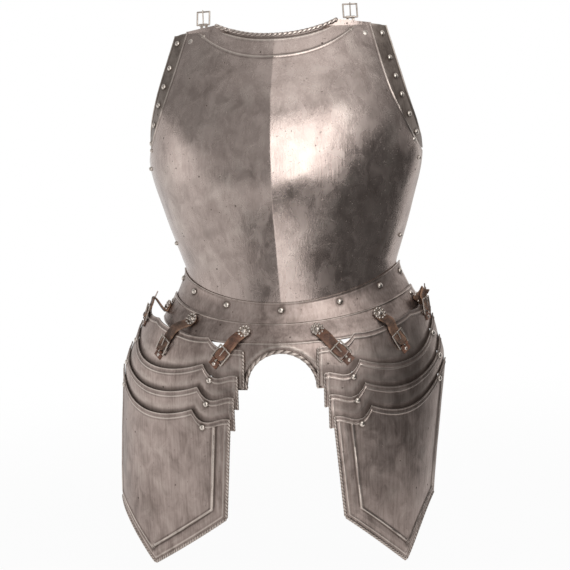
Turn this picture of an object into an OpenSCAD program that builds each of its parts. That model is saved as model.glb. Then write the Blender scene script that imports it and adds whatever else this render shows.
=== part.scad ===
// Cuirass with tassets: a breastplate with sliding arm gussets, a flared waist lame, a skirt lame
// with a crotch arch, and two tassets of four sliding lames, each hung on three buckled straps.
// Front is -Y, up is +Z and the wearer's left is +X. The origin is the middle of the waist.

/* [Breastplate] */
// Half width of the body section at the waistline
waist_half = 143; // [138:1:150]
// Half width of the body section at the flanks
flank_half = 168; // [163:1:173]
// Half width of the body section at the armhole tips
chest_half = 185; // [180:0.5:190]
// Half width of the body section at the shoulder blades of the plate
upper_half = 181; // [176:1:186]
// Half width of the body section at the shoulder line
shoulder_half = 153; // [149:1:158]
// Depth of the body section at the front of the waist
waist_depth = 125; // [115:1:135]
// Depth of the body section at the belly
belly_depth = 163; // [153:1:173]
// Depth of the body section at the chest
chest_depth = 144; // [138:1:150]
// Depth of the body section at the collar bead
collar_depth = 95; // [90:1:100]
// Depth of the body section at the shoulder line
shoulder_depth = 66; // [60:1:72]
// Height of the crest of the medial ridge above the rounded body
ridge_height = 10; // [4:1:14]
// Drop of the waistline from the sides to the front
waist_dip = 43; // [35:1:50]
// Height of the armhole tips above the waist
armhole_z = 148; // [140:1:156]
// Height of the neck edge at the front
neck_z = 301; // [296:1:306]
// Height of the neck edge at its ends
neck_side_z = 318; // [314:1:322]
// Height of the shoulder corners
shoulder_z = 309; // [306:1:312]
// Half width of the neck opening
neck_half = 80; // [74:1:86]
// Thickness of the breastplate
breast_t = 1.6; // [1.2:0.1:2.2]
// Width of the collar band between the neck edge and its bead
collar_w = 26; // [20:1:30]
// Thickness of the roped roll along the neck
neck_roll = 5.2; // [4:0.2:7]

/* [Gussets] */
// Half width of the main plate at its shoulder corners
main_corner = 122; // [118:1:126]
// Half width of the main plate halfway up the armholes
main_mid = 146; // [142:1:150]
// Half width of the gussets halfway up the armholes
gusset_mid = 166; // [162:1:170]
// Half width of the gussets at the shoulder line
gusset_corner = 142; // [138:1:145]
// Width of the gusset that lies hidden under the main plate
gusset_lap = 15; // [13:1:18]
// Thickness of the gussets
gusset_t = 1.3; // [1:0.1:1.6]
// Travel of the sliding rivet at each gusset's lower end
gusset_travel = 5; // [3:0.5:7]

/* [Waist and skirt] */
// Height of the waist lame's visible band at the front
band_front = 26; // [22:1:30]
// Extra height of that band at the sides
band_side = 7; // [4:1:10]
// Outward flare of the waist lame at the sides
waist_flare = 12; // [9:1:15]
// Outward flare of the skirt lame's lower edge at the sides
skirt_flare = 30; // [26:1:33]
// Outward flare of the skirt lame's lower edge at the front
skirt_front_flare = 24; // [20:1:26]
// Thickness of the waist, skirt and tasset lames
lame_t = 1.3; // [1:0.1:1.5]
// Half width of the crotch tab
tab_half = 55; // [50:1:58]
// Length of the tab below the skirt lame
tab_l = 55; // [51:1:59]
// Radius of the crotch arch
arch_r = 43; // [38:1:45]
// Thickness of the roped roll around the crotch arch
arch_roll = 5; // [4:0.2:6]

/* [Tassets] */
// How far the tassets' top stands outside the skirt lame at the sides
tasset_top_out = 10.5; // [6:1:11]
// How far the main plates stand outside the skirt lame at the sides
tasset_out = 40; // [37:1:45]
// How far the lower tips stand outside the skirt lame at the sides
tasset_low_out = 31; // [27:1:35]
// How far the tassets' top section stands behind the skirt lame at the front
tasset_top_back = 3; // [1:1:4]
// How far the main plates stand before the skirt lame at the front
tasset_fwd = 14; // [12:1:18]
// Distance from one lame's upper edge to the next
lame_pitch = 29; // [27:1:31]
// Length that each lame lies hidden under the next
lame_lap = 16; // [14:1:18]
// Travel of each lame on its sliding rivets
lame_travel = 4; // [3:0.5:5]
// Height of the main plates' lower tips
tip_z = -384; // [-400:1:-370]
// Sideways distance of the lower tips from the middle
tip_x = 162; // [155:1:168]
// Height of the main plates' inner lower corners
low_corner_z = -315; // [-325:1:-305]
// Sideways swing in which both tassets hang, in degrees
sway = 0.5; // [0:0.5:3]
// How far the outer edges of the hanging tassets lean to the wearer's right at the bottom
tasset_lean = 32; // [0:1:34]

/* [Straps and buckles] */
// Width of the leather straps
strap_w = 14.5; // [12:0.5:16]
// Thickness of the leather straps
strap_t = 2; // [1.6:0.1:2.4]
// Length of the tasset buckle frames between bar centres
frame_l = 20; // [18:1:24]
// Thickness of the buckle wire
wire = 2.2; // [1.8:0.1:2.6]
// Diameter of the rosettes
rosette_d = 18.5; // [15:0.5:20]
// Length of the shoulder buckle frames between bar centres
shoulder_frame_l = 17; // [14:1:20]
// Inner width of the shoulder buckle frames
shoulder_frame_w = 16; // [14:1:18]

/* [Rivets] */
// Diameter of the round rivet heads
head_d = 7.4; // [6:0.2:8]
// Height of the round rivet heads
head_h = 2.6; // [2:0.1:3]
// Diameter of the rivet shanks
shank_d = 4; // [3:0.2:4.6]

/* [Hidden] */

$fn = 40;

STEEL = [0.56, 0.52, 0.49];
DARK_STEEL = [0.44, 0.40, 0.37];
LEATHER = [0.45, 0.28, 0.18];

// Running clearance between plates that slide on each other
gap = 0.6;
// Running clearance between the main plate and the gussets under it
gusset_gap = 1.1;
// Clearance between riveted plates
seat = 0.1;
// Clearances of a pivot rivet in its hole, across a slot and at a slot's ends
pivot_play = 0.16;
slot_play = 0.9;
slot_end = 0.3;
// Clearance under the inner head of a sliding rivet
slide_play = 1.1;
// Clearance between a riveted strap or tab and its plate
lift = 0.15;
// Angle from the front at which the breastplate's side edges lie
side_angle = 78;
// Angle from the front at which the waist and skirt lames end
skirt_angle = 83;
// Angle from the front at which the tasset lames end
tasset_angle = 80;
// Power that squares the body section a little
squareness = 0.95;
// Distance over which the medial ridge fades into the body
ridge_fade = 45;
flank_z = 75;
belly_z = 125;
chest_z = 200;
collar_z = 270;
upper_z = 232;
armhole_mid_z = 230;
// Heights where the medial ridge starts, is full and ends, and its share there
ridge_knots = [[-waist_dip, 0.3], [0, 0.8], [100, 1], [240, 0.8], [neck_z, 0.2]];
// Length of the breastplate's flange below the waistline
flange = 14;

// Smooth curve through points of [place, value]
function span(k, x, i = 0) = (i >= len(k) - 2 || x < k[i + 1][0]) ? i : span(k, x, i + 1);
function slope(k, i) = (k[i + 1][1] - k[i][1]) / (k[i + 1][0] - k[i][0]);
function tangent(k, i) =
    i == 0 ? slope(k, 0)
    : i == len(k) - 1 ? slope(k, i - 1)
    : slope(k, i - 1) * slope(k, i) <= 0 ? 0 : (slope(k, i - 1) + slope(k, i)) / 2;
function smooth(k, x) =
    let(c = max(k[0][0], min(k[len(k) - 1][0], x)),
        i = span(k, c),
        h = k[i + 1][0] - k[i][0],
        t = (c - k[i][0]) / h)
    (2 * t^3 - 3 * t^2 + 1) * k[i][1] + (t^3 - 2 * t^2 + t) * h * tangent(k, i)
    + (3 * t^2 - 2 * t^3) * k[i + 1][1] + (t^3 - t^2) * h * tangent(k, i + 1);
function mix(a, b, t) = a + (b - a) * t;
function unit(v) = v / norm(v);

// Outward normal of a surface f(a, b), and a point raised from it by h
function normal_of(f, a, b, e = 0.05) =
    unit(cross(f(a + e, b) - f(a - e, b), f(a, b + e) - f(a, b - e)));
function raised(f, a, b, h) = f(a, b) + h * normal_of(f, a, b);

// Body section: half width and depth at each height
function body_half(z) = smooth([[0, waist_half], [flank_z, flank_half], [armhole_z, chest_half],
    [upper_z, upper_half], [shoulder_z, shoulder_half]], z);
function body_depth(z) = smooth([[-waist_dip, waist_depth], [belly_z, belly_depth],
    [chest_z, chest_depth], [collar_z, collar_depth], [shoulder_z, shoulder_depth]], z);
function crest(x, z) = ridge_height * smooth(ridge_knots, z) * exp(-abs(x) / ridge_fade);
// Inner face of the breastplate at angle a from the front and height z
breast = function(a, z)
    let(w = body_half(z), x = w * sin(a), r = ridge_height * smooth(ridge_knots, z))
    [x, -(body_depth(z) - r) * max(cos(a), 0.001)^squareness - crest(x, z), z];

// Waistline height, and the bands below it: level -1 is the skirt lame's upper edge, -2 its lower
function waist_z(a) = -waist_dip * max(cos(a), 0)^1.4;
function band(a) = band_front + band_side * sin(a)^2;
skirt = function(a, level)
    let(p = breast(a, waist_z(a)), r = -level,
        out_x = smooth([[-0.2, 0], [0, 0], [1, waist_flare], [2, skirt_flare], [5, skirt_flare + 4]], r),
        out_y = smooth([[-0.2, 0], [0, 0], [1, skirt_front_flare / 3], [2, skirt_front_flare],
            [5, skirt_front_flare + 4]], r))
    [p.x + out_x * sin(a), p.y - out_y * cos(a), p.z - r * band(a)];

// Half width, depth and lower edge of the skirt lame, at the front and at the sides
skirt_half = waist_half + skirt_flare;
skirt_depth = waist_depth + skirt_front_flare;
front_low = -waist_dip - 2 * band_front;
side_low = waist_z(skirt_angle) - 2 * band(skirt_angle);
tab_z = front_low - tab_l;
// Upper edge of tasset lame k at its inner end, its cusp and its outer end
inner_drop = 9;
cusp_rise = 2.4;
outer_rise = 31;
outer_step = 6;
function inner_x(k) = tab_half + [-7, 1, 6, 11][k];
function cusp_x(k) = tab_half + 38 + 7 * k;
function inner_z(k) = front_low - inner_drop - (lame_pitch - 2) * k;
function cusp_z(k) = skirt_edge(cusp_x(0)) + cusp_rise - lame_pitch * k;
function outer_z(k) = side_low + outer_rise - (k > 0 ? outer_step + lame_pitch * k : 0);
// Height of the skirt lame's lower edge at a sideways distance x
function skirt_edge(x) = skirt(asin(min(x / skirt_half, 0.99)), -2).z;

// Thigh section: inner face of the top tasset lame at angle a from the front and height z
thigh_top = skirt_half + tasset_top_out;
thigh_full = skirt_half + tasset_out;
depth_top = skirt_depth - tasset_top_back;
depth_full = skirt_depth + tasset_fwd;
function thigh_half(z) = smooth([[tip_z, skirt_half + tasset_low_out], [low_corner_z, thigh_full - 5],
    [outer_z(3) - 48, thigh_full], [outer_z(3), thigh_full + 1], [outer_z(2), thigh_full - 7],
    [outer_z(0), thigh_top], [outer_z(0) + 37, thigh_top - 13]], z);
function thigh_depth(z) = smooth([[tip_z, depth_full - 5], [inner_z(3), depth_full],
    [front_low - 39, depth_full - 3], [front_low + 7, depth_top + 6], [front_low + 65, depth_top - 8]], z);
// The hanging tassets are turned a little: their outer edges lean to the wearer's right
function lean_at(z) = tasset_lean * smooth([[tip_z, 1.03], [low_corner_z, 1], [outer_z(3), 0.5],
    [outer_z(1), 0.31], [outer_z(0) + 25, 0]], z);
function lean_share(a) = let(t = max(0, min(1, (a - 15) / (tasset_angle - 15)))) t * t * (3 - 2 * t);
thigh_of = function(side) function(a, z)
    [thigh_half(z) * sin(a) - side * lean_at(z) * lean_share(a), -thigh_depth(z) * cos(a), z];

// Edges of the breastplate
function side_x(z) = body_half(z) * sin(side_angle);
function edge_x(z) =
    let(low = armhole_z - 5)
    z < low ? side_x(z)
    : smooth([[low, side_x(low)], [armhole_mid_z, main_mid], [shoulder_z, main_corner]], z);
function gusset_x(z) = smooth([[armhole_z, chest_half - 2], [armhole_z + 17, chest_half - 3],
    [armhole_mid_z, gusset_mid], [shoulder_z, gusset_corner]], z);
function top_z(x) = x < neck_half
    ? mix(neck_z, neck_side_z, (x / neck_half)^2.2)
    : mix(neck_side_z, shoulder_z, (x - neck_half) / (gusset_corner - neck_half));
function collar_line(x) = mix(neck_z - collar_w, neck_side_z - 5, (x / (neck_half + collar_w))^2.2);
function angle_at(x, z) = asin(min(x / body_half(z), 0.9999));

// Closed plate from a grid of outer points and a grid of inner points, rows upward
module skin(outer, inner) {
    rows = len(outer);
    cols = len(outer[0]);
    n = rows * cols;
    points = concat([for (r = outer) each r], [for (r = inner) each r]);
    quads = concat(
        [for (i = [0 : rows - 2], j = [0 : cols - 2])
            let(a = i * cols + j) [a, a + cols, a + cols + 1, a + 1]],
        [for (i = [0 : rows - 2], j = [0 : cols - 2])
            let(a = n + i * cols + j) [a, a + 1, a + cols + 1, a + cols]],
        [for (j = [0 : cols - 2]) [j, j + 1, n + j + 1, n + j]],
        [for (j = [0 : cols - 2]) let(a = n - cols + j) [a, n + a, n + a + 1, a + 1]],
        [for (i = [0 : rows - 2]) let(a = i * cols) [a, n + a, n + a + cols, a + cols]],
        [for (i = [0 : rows - 2]) let(a = i * cols + cols - 1) [a, a + cols, n + a + cols, n + a]]);
    polyhedron(points, [for (q = quads) each [[q[0], q[1], q[2]], [q[0], q[2], q[3]]]]);
}

// Plate on a surface f: place(u, v) gives its two coordinates, low and high its two faces
module plate(f, us, vs, place, low, high) {
    grid = [for (v = vs) [for (u = us) place(u, v)]];
    function face(h) = [for (i = [0 : len(vs) - 1]) [for (j = [0 : len(us) - 1])
        raised(f, grid[i][j][0], grid[i][j][1], h(us[j], vs[i]))]];
    skin(face(high), face(low));
}

// Ring of corner points swept along a path into a closed bar
module sweep(rings) {
    n = len(rings[0]);
    last = len(rings) - 1;
    sides = [for (i = [0 : last - 1], j = [0 : n - 1])
        let(a = i * n + j, b = i * n + (j + 1) % n) each [[a, b + n, b], [a, a + n, b + n]]];
    caps = [for (j = [1 : n - 2]) each [[0, j, j + 1], [last * n, last * n + j + 1, last * n + j]]];
    polyhedron([for (r = rings) each r], concat(sides, caps));
}

module on_side(side) {
    if (side > 0) children();
    else mirror([1, 0, 0]) children();
}
// Stands children on a point with their Z along n
module stand(p, n) {
    translate(p) rotate([0, acos(n.z), atan2(n.y, n.x)]) children();
}
// Places children with their X, Y and Z along three unit vectors
module placed(p, x, y, z) {
    multmatrix([[x.x, y.x, z.x, p.x], [x.y, y.y, z.y, p.y], [x.z, y.z, z.z, p.z]]) children();
}

// Round-headed rivet: its head stands on z = 0 and its shank goes down to a flat inner head
module rivet(depth, d = head_d, h = head_h) {
    ball = ((d / 2)^2 + h^2) / (2 * h);
    intersection() {
        translate([0, 0, h - ball]) sphere(ball);
        translate([0, 0, -0.1]) cylinder(d = d, h = h + 1);
    }
    translate([0, 0, -depth]) cylinder(d = shank_d, h = depth);
    translate([0, 0, -depth - 1]) cylinder(d = shank_d + 3, h = 1);
}

module breastplate() {
    half_cols = 20;
    us = [for (i = [-half_cols : half_cols]) sin(side_angle * i / half_cols) / sin(side_angle)];
    // Rows: the flange, the body, the collar bead, the collar band and the neck roll
    body_rows = 19;
    vs = concat([-1, -0.6, -0.3], [for (i = [0 : body_rows]) i / body_rows],
        [1.3, 1.6, 2, 2.3, 2.6, 2.8, 3]);
    place = function(u, v)
        let(x_top = abs(u) * main_corner,
            waist = waist_z(asin(abs(u) * sin(side_angle))),
            top = top_z(x_top),
            bead = min(collar_line(x_top), top - 7),
            z = v < 0 ? waist + flange * v
                : v <= 1 ? mix(waist, bead - 2, v)
                : v <= 2 ? mix(bead - 2, bead + 4, v - 1)
                : mix(bead + 4, top, v - 2),
            x = u * edge_x(z))
        [asin(x / body_half(z)), z];
    neck = function(u) abs(u) * main_corner <= neck_half + 1 ? 1 : 0.1;
    roll = function(u, v) v > 2.9 ? neck(u) * neck_roll * 0.35 : v > 2.7 ? neck(u) * neck_roll / 2 : 0;
    bead = function(u, v)
        (v > 1.2 && v < 1.7 ? 1.2 : 0) + (abs(u) > 0.985 && v < 2.9 && v > 0.05 ? 0.9 : 0);
    color(STEEL) skin_on_body(us, vs, place,
        function(u, v) -roll(u, v),
        function(u, v) breast_t + roll(u, v) + bead(u, v));
}
// Below the waistline the breastplate follows the skirt's flare as a short flange
module skin_on_body(us, vs, place, low, high) {
    f = function(a, z)
        let(w = waist_z(a)) z >= w ? breast(a, z) : skirt(a, (z - w) / band(a));
    plate(f, us, vs, place, low, high);
}

module gusset(side) {
    us = [0, 0.25, 0.5, 0.75, 0.95, 1];
    rows = 22;
    vs = [for (i = [0 : rows]) i / rows];
    place = function(u, v)
        let(z0 = mix(armhole_z - 2, shoulder_z, v),
            x = mix(edge_x(z0) - gusset_lap, gusset_x(z0), u),
            z = mix(armhole_z - 2, top_z(x) - 1, v))
        [angle_at(x, z), z];
    rim = function(u, v) u > 0.97 && v > 0.15 ? 0.8 : 0;
    color(DARK_STEEL) on_side(side) difference() {
        plate(breast, us, vs, place,
            function(u, v) -gusset_gap - gusset_t - rim(u, v),
            function(u, v) -gusset_gap + rim(u, v));
        on_breast(gusset_pivot, 0) cylinder(d = shank_d + pivot_play, h = 12, center = true);
        gusset_slot();
    }
}
// Pivot rivet of the gusset as [x, z], and the sliding rivet near its lower tip
gusset_pivot = [edge_x(shoulder_z - 11) - 10.2, shoulder_z - 11];
gusset_slide = [edge_x(armhole_z + 10) - 2, armhole_z + 10];
module on_breast(at, h) {
    a = angle_at(at[0], at[1]);
    stand(raised(breast, a, at[1], h), normal_of(breast, a, at[1])) children();
}
// Slot that lets the gusset slide past its lower rivet as it turns on the pivot
function on_body(at) = breast(angle_at(at[0], at[1]), at[1]);
function body_n(at) = normal_of(breast, angle_at(at[0], at[1]), at[1]);
module gusset_slot() {
    p = on_body(gusset_slide);
    n = body_n(gusset_slide);
    along = unit(cross(body_n(gusset_pivot), p - on_body(gusset_pivot)));
    hull() for (t = [-slot_end, gusset_travel + slot_end])
        stand(p + along * t, n) cylinder(d = shank_d + slot_play, h = 14, center = true, $fn = 24);
}
module gusset_rivets(side) {
    depth = gusset_t + seat;
    color(DARK_STEEL) on_side(side) for (t = [0.12, 0.27, 0.43, 0.58, 0.73, 0.93]) {
        z = mix(armhole_z, shoulder_z, t);
        x = mix(edge_x(z), gusset_x(z), 0.55);
        on_breast([x, z], -gusset_gap) rivet(depth, head_d * 0.85, head_h * 0.85);
    }
}
module gusset_pivot_rivets() {
    color(DARK_STEEL) for (side = [-1, 1]) on_side(side)
        on_breast(gusset_pivot, breast_t)
            rivet(breast_t + gusset_gap + gusset_t + 2 * lift, head_d, 0.9);
}
module gusset_slide_rivets() {
    color(STEEL) for (side = [-1, 1]) on_side(side)
        on_breast(gusset_slide, breast_t)
            rivet(breast_t + gusset_gap + gusset_t + 3 * slide_play, head_d * 0.9, head_h * 0.8);
}

// Faces of the lames, as heights above the inner face of the breastplate
waist_low = breast_t + seat;
waist_high = waist_low + lame_t;
skirt_low = waist_high + gap;
skirt_high = skirt_low + lame_t;

module waist_lame() {
    cols = 44;
    us = [for (i = [-cols / 2 : cols / 2]) skirt_angle * i / (cols / 2)];
    vs = [-1.45, -1.2, -0.9, -0.6, -0.3, -0.12, 0.02];
    color(STEEL) plate(skirt, us, vs, function(u, v) [u, v],
        function(u, v) waist_low,
        function(u, v) waist_high + (v > -0.01 ? 0.5 : 0));
}
module skirt_lame() {
    cols = 44;
    us = [for (i = [-cols / 2 : cols / 2]) skirt_angle * i / (cols / 2)];
    vs = [-2, -1.9, -1.7, -1.4, -1.13, -1.07, -1];
    half = asin(tab_half / skirt_half);
    tab_us = [for (i = [-8 : 8]) half * i / 8];
    tab_vs = [0, 0.2, 0.4, 0.6, 0.8, 1];
    color(STEEL) difference() {
        union() {
            plate(skirt, us, vs, function(u, v) [u, v],
                function(u, v) skirt_low,
                function(u, v) skirt_high + (v < -1.95 || (v > -1.1 && v < -1.05) ? 1 : 0));
            plate(skirt, tab_us, tab_vs,
                function(u, v) [u, mix((tab_z - waist_z(u)) / band(u), -1.85, v)],
                function(u, v) skirt_low + 0.1,
                function(u, v) skirt_high - 0.1);
            arch_rope();
        }
        translate([0, -100, arch_z]) rotate([90, 0, 0]) cylinder(r = arch_r, h = 120);
        translate([-arch_r, -220, tab_z - 20]) cube([2 * arch_r, 120, arch_z - tab_z + 20]);
        for (side = [-1, 1]) on_side(side) on_skirt(skirt_pivot, 0)
            cylinder(d = shank_d + 4 * pivot_play, h = 24, center = true);
    }
}
arch_z = tab_z + 3;
// Roped roll that follows the arch on the curved tab, and runs down both legs
module arch_rope() {
    steps = 16;
    r = arch_roll / 2;
    path = concat([[arch_r + r * 0.6, tab_z + 0.5]],
        [for (i = [0 : steps]) let(t = 180 * i / steps)
            [(arch_r + r * 0.6) * cos(t), arch_z + (arch_r + r * 0.6) * sin(t)]],
        [[-arch_r - r * 0.6, tab_z + 0.5]]);
    centre = [for (p = path) on_tab(p[0], p[1])];
    rings = [for (i = [0 : len(path) - 1])
        let(ahead = centre[min(i + 1, len(path) - 1)], back = centre[max(i - 1, 0)],
            d = unit(ahead - back), n = [0, -1, 0], s = cross(n, d))
        [for (k = [0 : 7]) centre[i] + r * (cos(45 * k) * s + sin(45 * k) * n)]];
    sweep(rings);
}
// Point in the middle of the tab's thickness at a given x and z
function on_tab(x, z) =
    let(a = asin(x / skirt_half),
        p = skirt(a, (z - waist_z(a)) / band(a)))
    [x, p.y - (skirt_low + skirt_high) / 2, z];
// Side pivots of the skirt lame and the waist rivets, as [angle, level]
skirt_pivot = [77, -1.25];
waist_rivet_angles = [-79, -56, -30, 0, 30, 56, 79];
module on_skirt(at, h) {
    stand(raised(skirt, at[0], at[1], h), normal_of(skirt, at[0], at[1])) children();
}
module waist_rivets() {
    color(DARK_STEEL) for (a = waist_rivet_angles)
        on_skirt([a, -0.36], waist_high) rivet(waist_high);
}
module skirt_pivot_rivets() {
    color(DARK_STEEL) for (side = [-1, 1]) on_side(side)
        on_skirt(skirt_pivot, skirt_high + 2 * lift) rivet(2 * lame_t + gap + 2 * lift + 0.2);
}
module flank_studs() {
    color(DARK_STEEL) for (side = [-1, 1]) on_side(side) for (z = [34, armhole_z - 14]) {
        at = [side_x(z) - 3.5, z];
        on_breast(at, breast_t) rivet(breast_t + 0.3, 6, 3.2);
    }
}

// Rosettes and buckles: each site has the rosette's [angle, level] on the skirt lame, the
// frame's [angle, drop below the skirt lame] and the strap's lean from straight down there
sites = [
    [[16.2, -1.5], [21.5, 12.2], 43],
    [[47.2, -1.4], [48.4, 12], 32],
    [[78, -1.55], [73, -12.5], 8]];
function site_z(s) = skirt(s[1][0], -2).z - s[1][1];
// Height of the strap's middle on the skirt lame, and how far it bulges out and up on its way
strap_seat = skirt_high + 3 * lift + strap_t / 2;
lofts = [[4, 0], [7, 0], [5, 14]];

hang = [110, 0, -75];
// Turns a point or direction with the hanging tasset on the given side, seen mirrored to +X
function turned(v, side) =
    let(a = side * sway) [v.x * cos(a) + v.z * sin(a), v.y, v.z * cos(a) - v.x * sin(a)];
function hung(p, side) = hang + turned(p - hang, side);
module hanging(side) {
    on_side(side) translate(hang) rotate([0, side * sway, 0]) translate(-hang) children();
}

// Rosette: a ring of small beads round a domed middle, riveted through strap and lame
module rosette() {
    beads = 10;
    bead_d = 4;
    cylinder(d = rosette_d - 2, h = 1.4);
    for (i = [0 : beads - 1]) rotate(360 * i / beads)
        translate([rosette_d / 2 - bead_d / 2, 0, 1.3]) sphere(d = bead_d, $fn = 24);
    intersection() {
        translate([0, 0, -0.8]) sphere(5.2);
        cylinder(d = 9.5, h = 6);
    }
    depth = strap_t + 3 * lift + lame_t;
    translate([0, 0, -depth]) cylinder(d = shank_d, h = depth);
}
module rosettes() {
    color(STEEL) for (side = [-1, 1]) on_side(side) for (s = sites)
        on_skirt(s[0], strap_seat + strap_t / 2) rosette();
}

// Directions at a buckle: along the strap, across it and outward
function buckle_n(s, side) = normal_of(thigh_of(side), s[1][0], site_z(s));
function buckle_d(s, side) =
    let(e = 0.05,
        f = thigh_of(side),
        out = unit(f(s[1][0] + e, site_z(s)) - f(s[1][0] - e, site_z(s))),
        down = unit(cross(out, buckle_n(s, side))),
        fall = down.z < 0 ? down : -down)
    cos(s[2]) * fall + sin(s[2]) * out;
function buckle_p(s, side) = raised(thigh_of(side), s[1][0], site_z(s), lame_t);
module at_buckle(s, side) {
    d = buckle_d(s, side);
    n = buckle_n(s, side);
    placed(buckle_p(s, side), cross(d, n), d, n) children();
}
// Heights of the two cross bars above the lame, at the chape and at the free end
bar_low = 1.9;
bar_high = 4.6;
frame_w = strap_w + 1.6 + wire;

// Wire frame with its pivot bar on the X axis, its free bar at y = -l
module wire_frame(l, w) {
    for (y = [0, -l]) translate([0, y, 0]) rotate([0, 90, 0]) cylinder(d = wire, h = w, center = true);
    for (x = [-w / 2, w / 2]) translate([x, 0, 0]) rotate([90, 0, 0]) cylinder(d = wire, h = l);
    for (x = [-w / 2, w / 2], y = [0, -l]) translate([x, y, 0]) sphere(d = wire);
}
tilt = asin((bar_high - bar_low) / frame_l);
module on_bar() {
    translate([0, frame_l / 2, bar_low]) rotate([-tilt, 0, 0]) children();
}
module buckle_frames(side) {
    color(DARK_STEEL) hanging(side) for (s = sites) at_buckle(s, side) on_bar() wire_frame(frame_l, frame_w);
}
// Outer diameter of the tongues' rings
ring_d = wire + 1.4;
// Tongue: a ring on the pivot bar and a tapering rod that rests on the free bar
module tongue(l, rise) {
    difference() {
        union() {
            rotate([0, 90, 0]) cylinder(d = ring_d, h = 2.4, center = true);
            hull() {
                translate([0, -ring_d / 2 + 0.4, rise * 0.1]) sphere(d = 1.9, $fn = 12);
                translate([0, -l - 1.5, rise]) sphere(d = 1.6, $fn = 12);
            }
        }
        rotate([0, 90, 0]) cylinder(d = wire + 0.3, h = 4, center = true);
    }
}
module buckle_tongues(side) {
    color(DARK_STEEL) hanging(side) for (s = sites) at_buckle(s, side) on_bar() tongue(frame_l, wire / 2 + 1);
}
// Chape: a plate folded round the pivot bar in two loops and riveted to what carries the buckle
chape_l = 7;
chape_t = 1.2;
chape_root = ring_d / 2 + 2 * lift;
module chape(w) {
    loop = wire + 1.3;
    loop_w = w / 2 - 1.8;
    difference() {
        union() {
            for (side = [-1, 1]) translate([side * (w / 4 + 0.9), 0, 0]) {
                rotate([0, 90, 0]) cylinder(d = loop, h = loop_w, center = true);
                translate([-loop_w / 2, 0, -bar_low + lift]) cube([loop_w, chape_root + 0.2, chape_t]);
            }
            translate([-w / 2, chape_root, -bar_low + lift]) cube([w, chape_l, chape_t]);
        }
        rotate([0, 90, 0]) cylinder(d = wire + 0.2, h = w + 2, center = true);
    }
}
module buckle_chapes(side) {
    color(LEATHER) hanging(side) for (s = sites) at_buckle(s, side)
        translate([0, frame_l / 2, bar_low]) chape(strap_w - 1);
}
module chape_rivets(side) {
    color(DARK_STEEL) hanging(side) for (s = sites) at_buckle(s, side)
        translate([0, frame_l / 2 + chape_root + chape_l / 2, chape_t + lift])
            rivet(chape_t + lift + lame_t + 0.1, 5, 1.2);
}

// Middle line of a strap: under the rosette, over to the buckle, through its frame and out
function strap_path(k, side) =
    let(s = sites[k],
        a = raised(skirt, s[0][0], s[0][1], strap_seat),
        na = normal_of(skirt, s[0][0], s[0][1]),
        p = hung(buckle_p(s, side), side),
        n = turned(buckle_n(s, side), side),
        d = turned(buckle_d(s, side), side),
        half = frame_l / 2,
        enter = p - d * (half + 1) + n * (strap_t / 2 + 1),
        go = unit(enter - a - na * ((enter - a) * na)))
    [a - go * 6 + na * 0.3, a, a + go * 7 + na * 1.8, (a + enter) / 2 + lofts[k][0] * unit(na + n) + [0, 0, lofts[k][1]],
        enter - d * 4 + n * 0.2, enter,
        p + n * 3.3, p + d * (half - 5) + n * 4.9, p + d * (half - 1) + n * 5.1];
function strap_across(k, side, t) =
    let(s = sites[k], path = strap_path(k, side), na = normal_of(skirt, s[0][0], s[0][1]),
        wa = unit(cross(path[2] - path[0], na)),
        wb = unit(cross(turned(buckle_d(s, side), side), turned(buckle_n(s, side), side))))
    unit(mix(wa, wb, min(1, max(0, t))));
// Point on the curve through a list of points
function curve(p, t) =
    let(i = min(floor(t), len(p) - 2), f = t - i,
        a = p[max(i - 1, 0)], b = p[i], c = p[i + 1], e = p[min(i + 2, len(p) - 1)])
    0.5 * (2 * b + (c - a) * f + (2 * a - 5 * b + 4 * c - e) * f^2 + (3 * b - a - 3 * c + e) * f^3);
module strap(k, side) {
    path = strap_path(k, side);
    steps = 2;
    ts = [for (i = [0 : (len(path) - 1) * steps]) i / steps];
    rings = [for (t = ts)
        let(c = curve(path, t),
            d = unit(curve(path, min(t + 0.1, len(path) - 1)) - curve(path, max(t - 0.1, 0))),
            w0 = strap_across(k, side, (t - 2) / 2), w = unit(w0 - d * (w0 * d)), n = cross(w, d),
            ww = (t < 0.4 || t > len(path) - 1.4 ? strap_w * 0.7 : strap_w) / 2, h = strap_t / 2)
        [c - w * ww - n * h, c - w * ww + n * h, c + w * ww + n * h, c + w * ww - n * h]];
    color(LEATHER) on_side(side) difference() {
        sweep(rings);
        translate(hang) rotate([0, side * sway, 0]) translate(-hang) at_buckle(sites[k], side)
            translate([-1.6, -7, -1]) cube([3.2, 13.5, 12]);
    }
}

// Upper edge of tasset lame k as its height, with s running from the inner to the outer end.
// Lame 1 follows the skirt lame and rises at its outer end, the others hang in a deep curve
inner_sag = 12;
outer_sag = 26;
function lame_edge(k, s) =
    let(inner_a = asin(inner_x(k) / thigh_half(inner_z(k))),
        cusp_a = asin(cusp_x(k) / thigh_half(cusp_z(k))),
        cusp = (cusp_a - inner_a) / (tasset_angle - inner_a),
        t = s < cusp ? s / cusp : (s - cusp) / (1 - cusp),
        top = skirt_edge(thigh_half(cusp_z(0)) * sin(mix(inner_a, tasset_angle, s))) + 1)
    s < cusp ? mix(inner_z(k), cusp_z(k), t) - inner_sag * 6.75 * t^2 * (1 - t)
    : k > 0 ? mix(cusp_z(k), outer_z(k), t) - outer_sag * 4 * t * (1 - t)
    : mix(mix(cusp_z(0), top, min(1, 4 * t)), outer_z(0), t^9);
function lame_angle(k, s, z) = mix(asin(lame_inner(k, z) / thigh_half(z)), tasset_angle, s);
// Inner end of a lame: the main plate's inner edge leans outward as it goes down
corner_x = inner_x(3) + 9.5;
function lame_inner(k, z) =
    k < 3 ? inner_x(k) : mix(inner_x(3), corner_x, (inner_z(3) - z) / (inner_z(3) - low_corner_z));
function lame_low(k) = k * (lame_t + gap);
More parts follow.
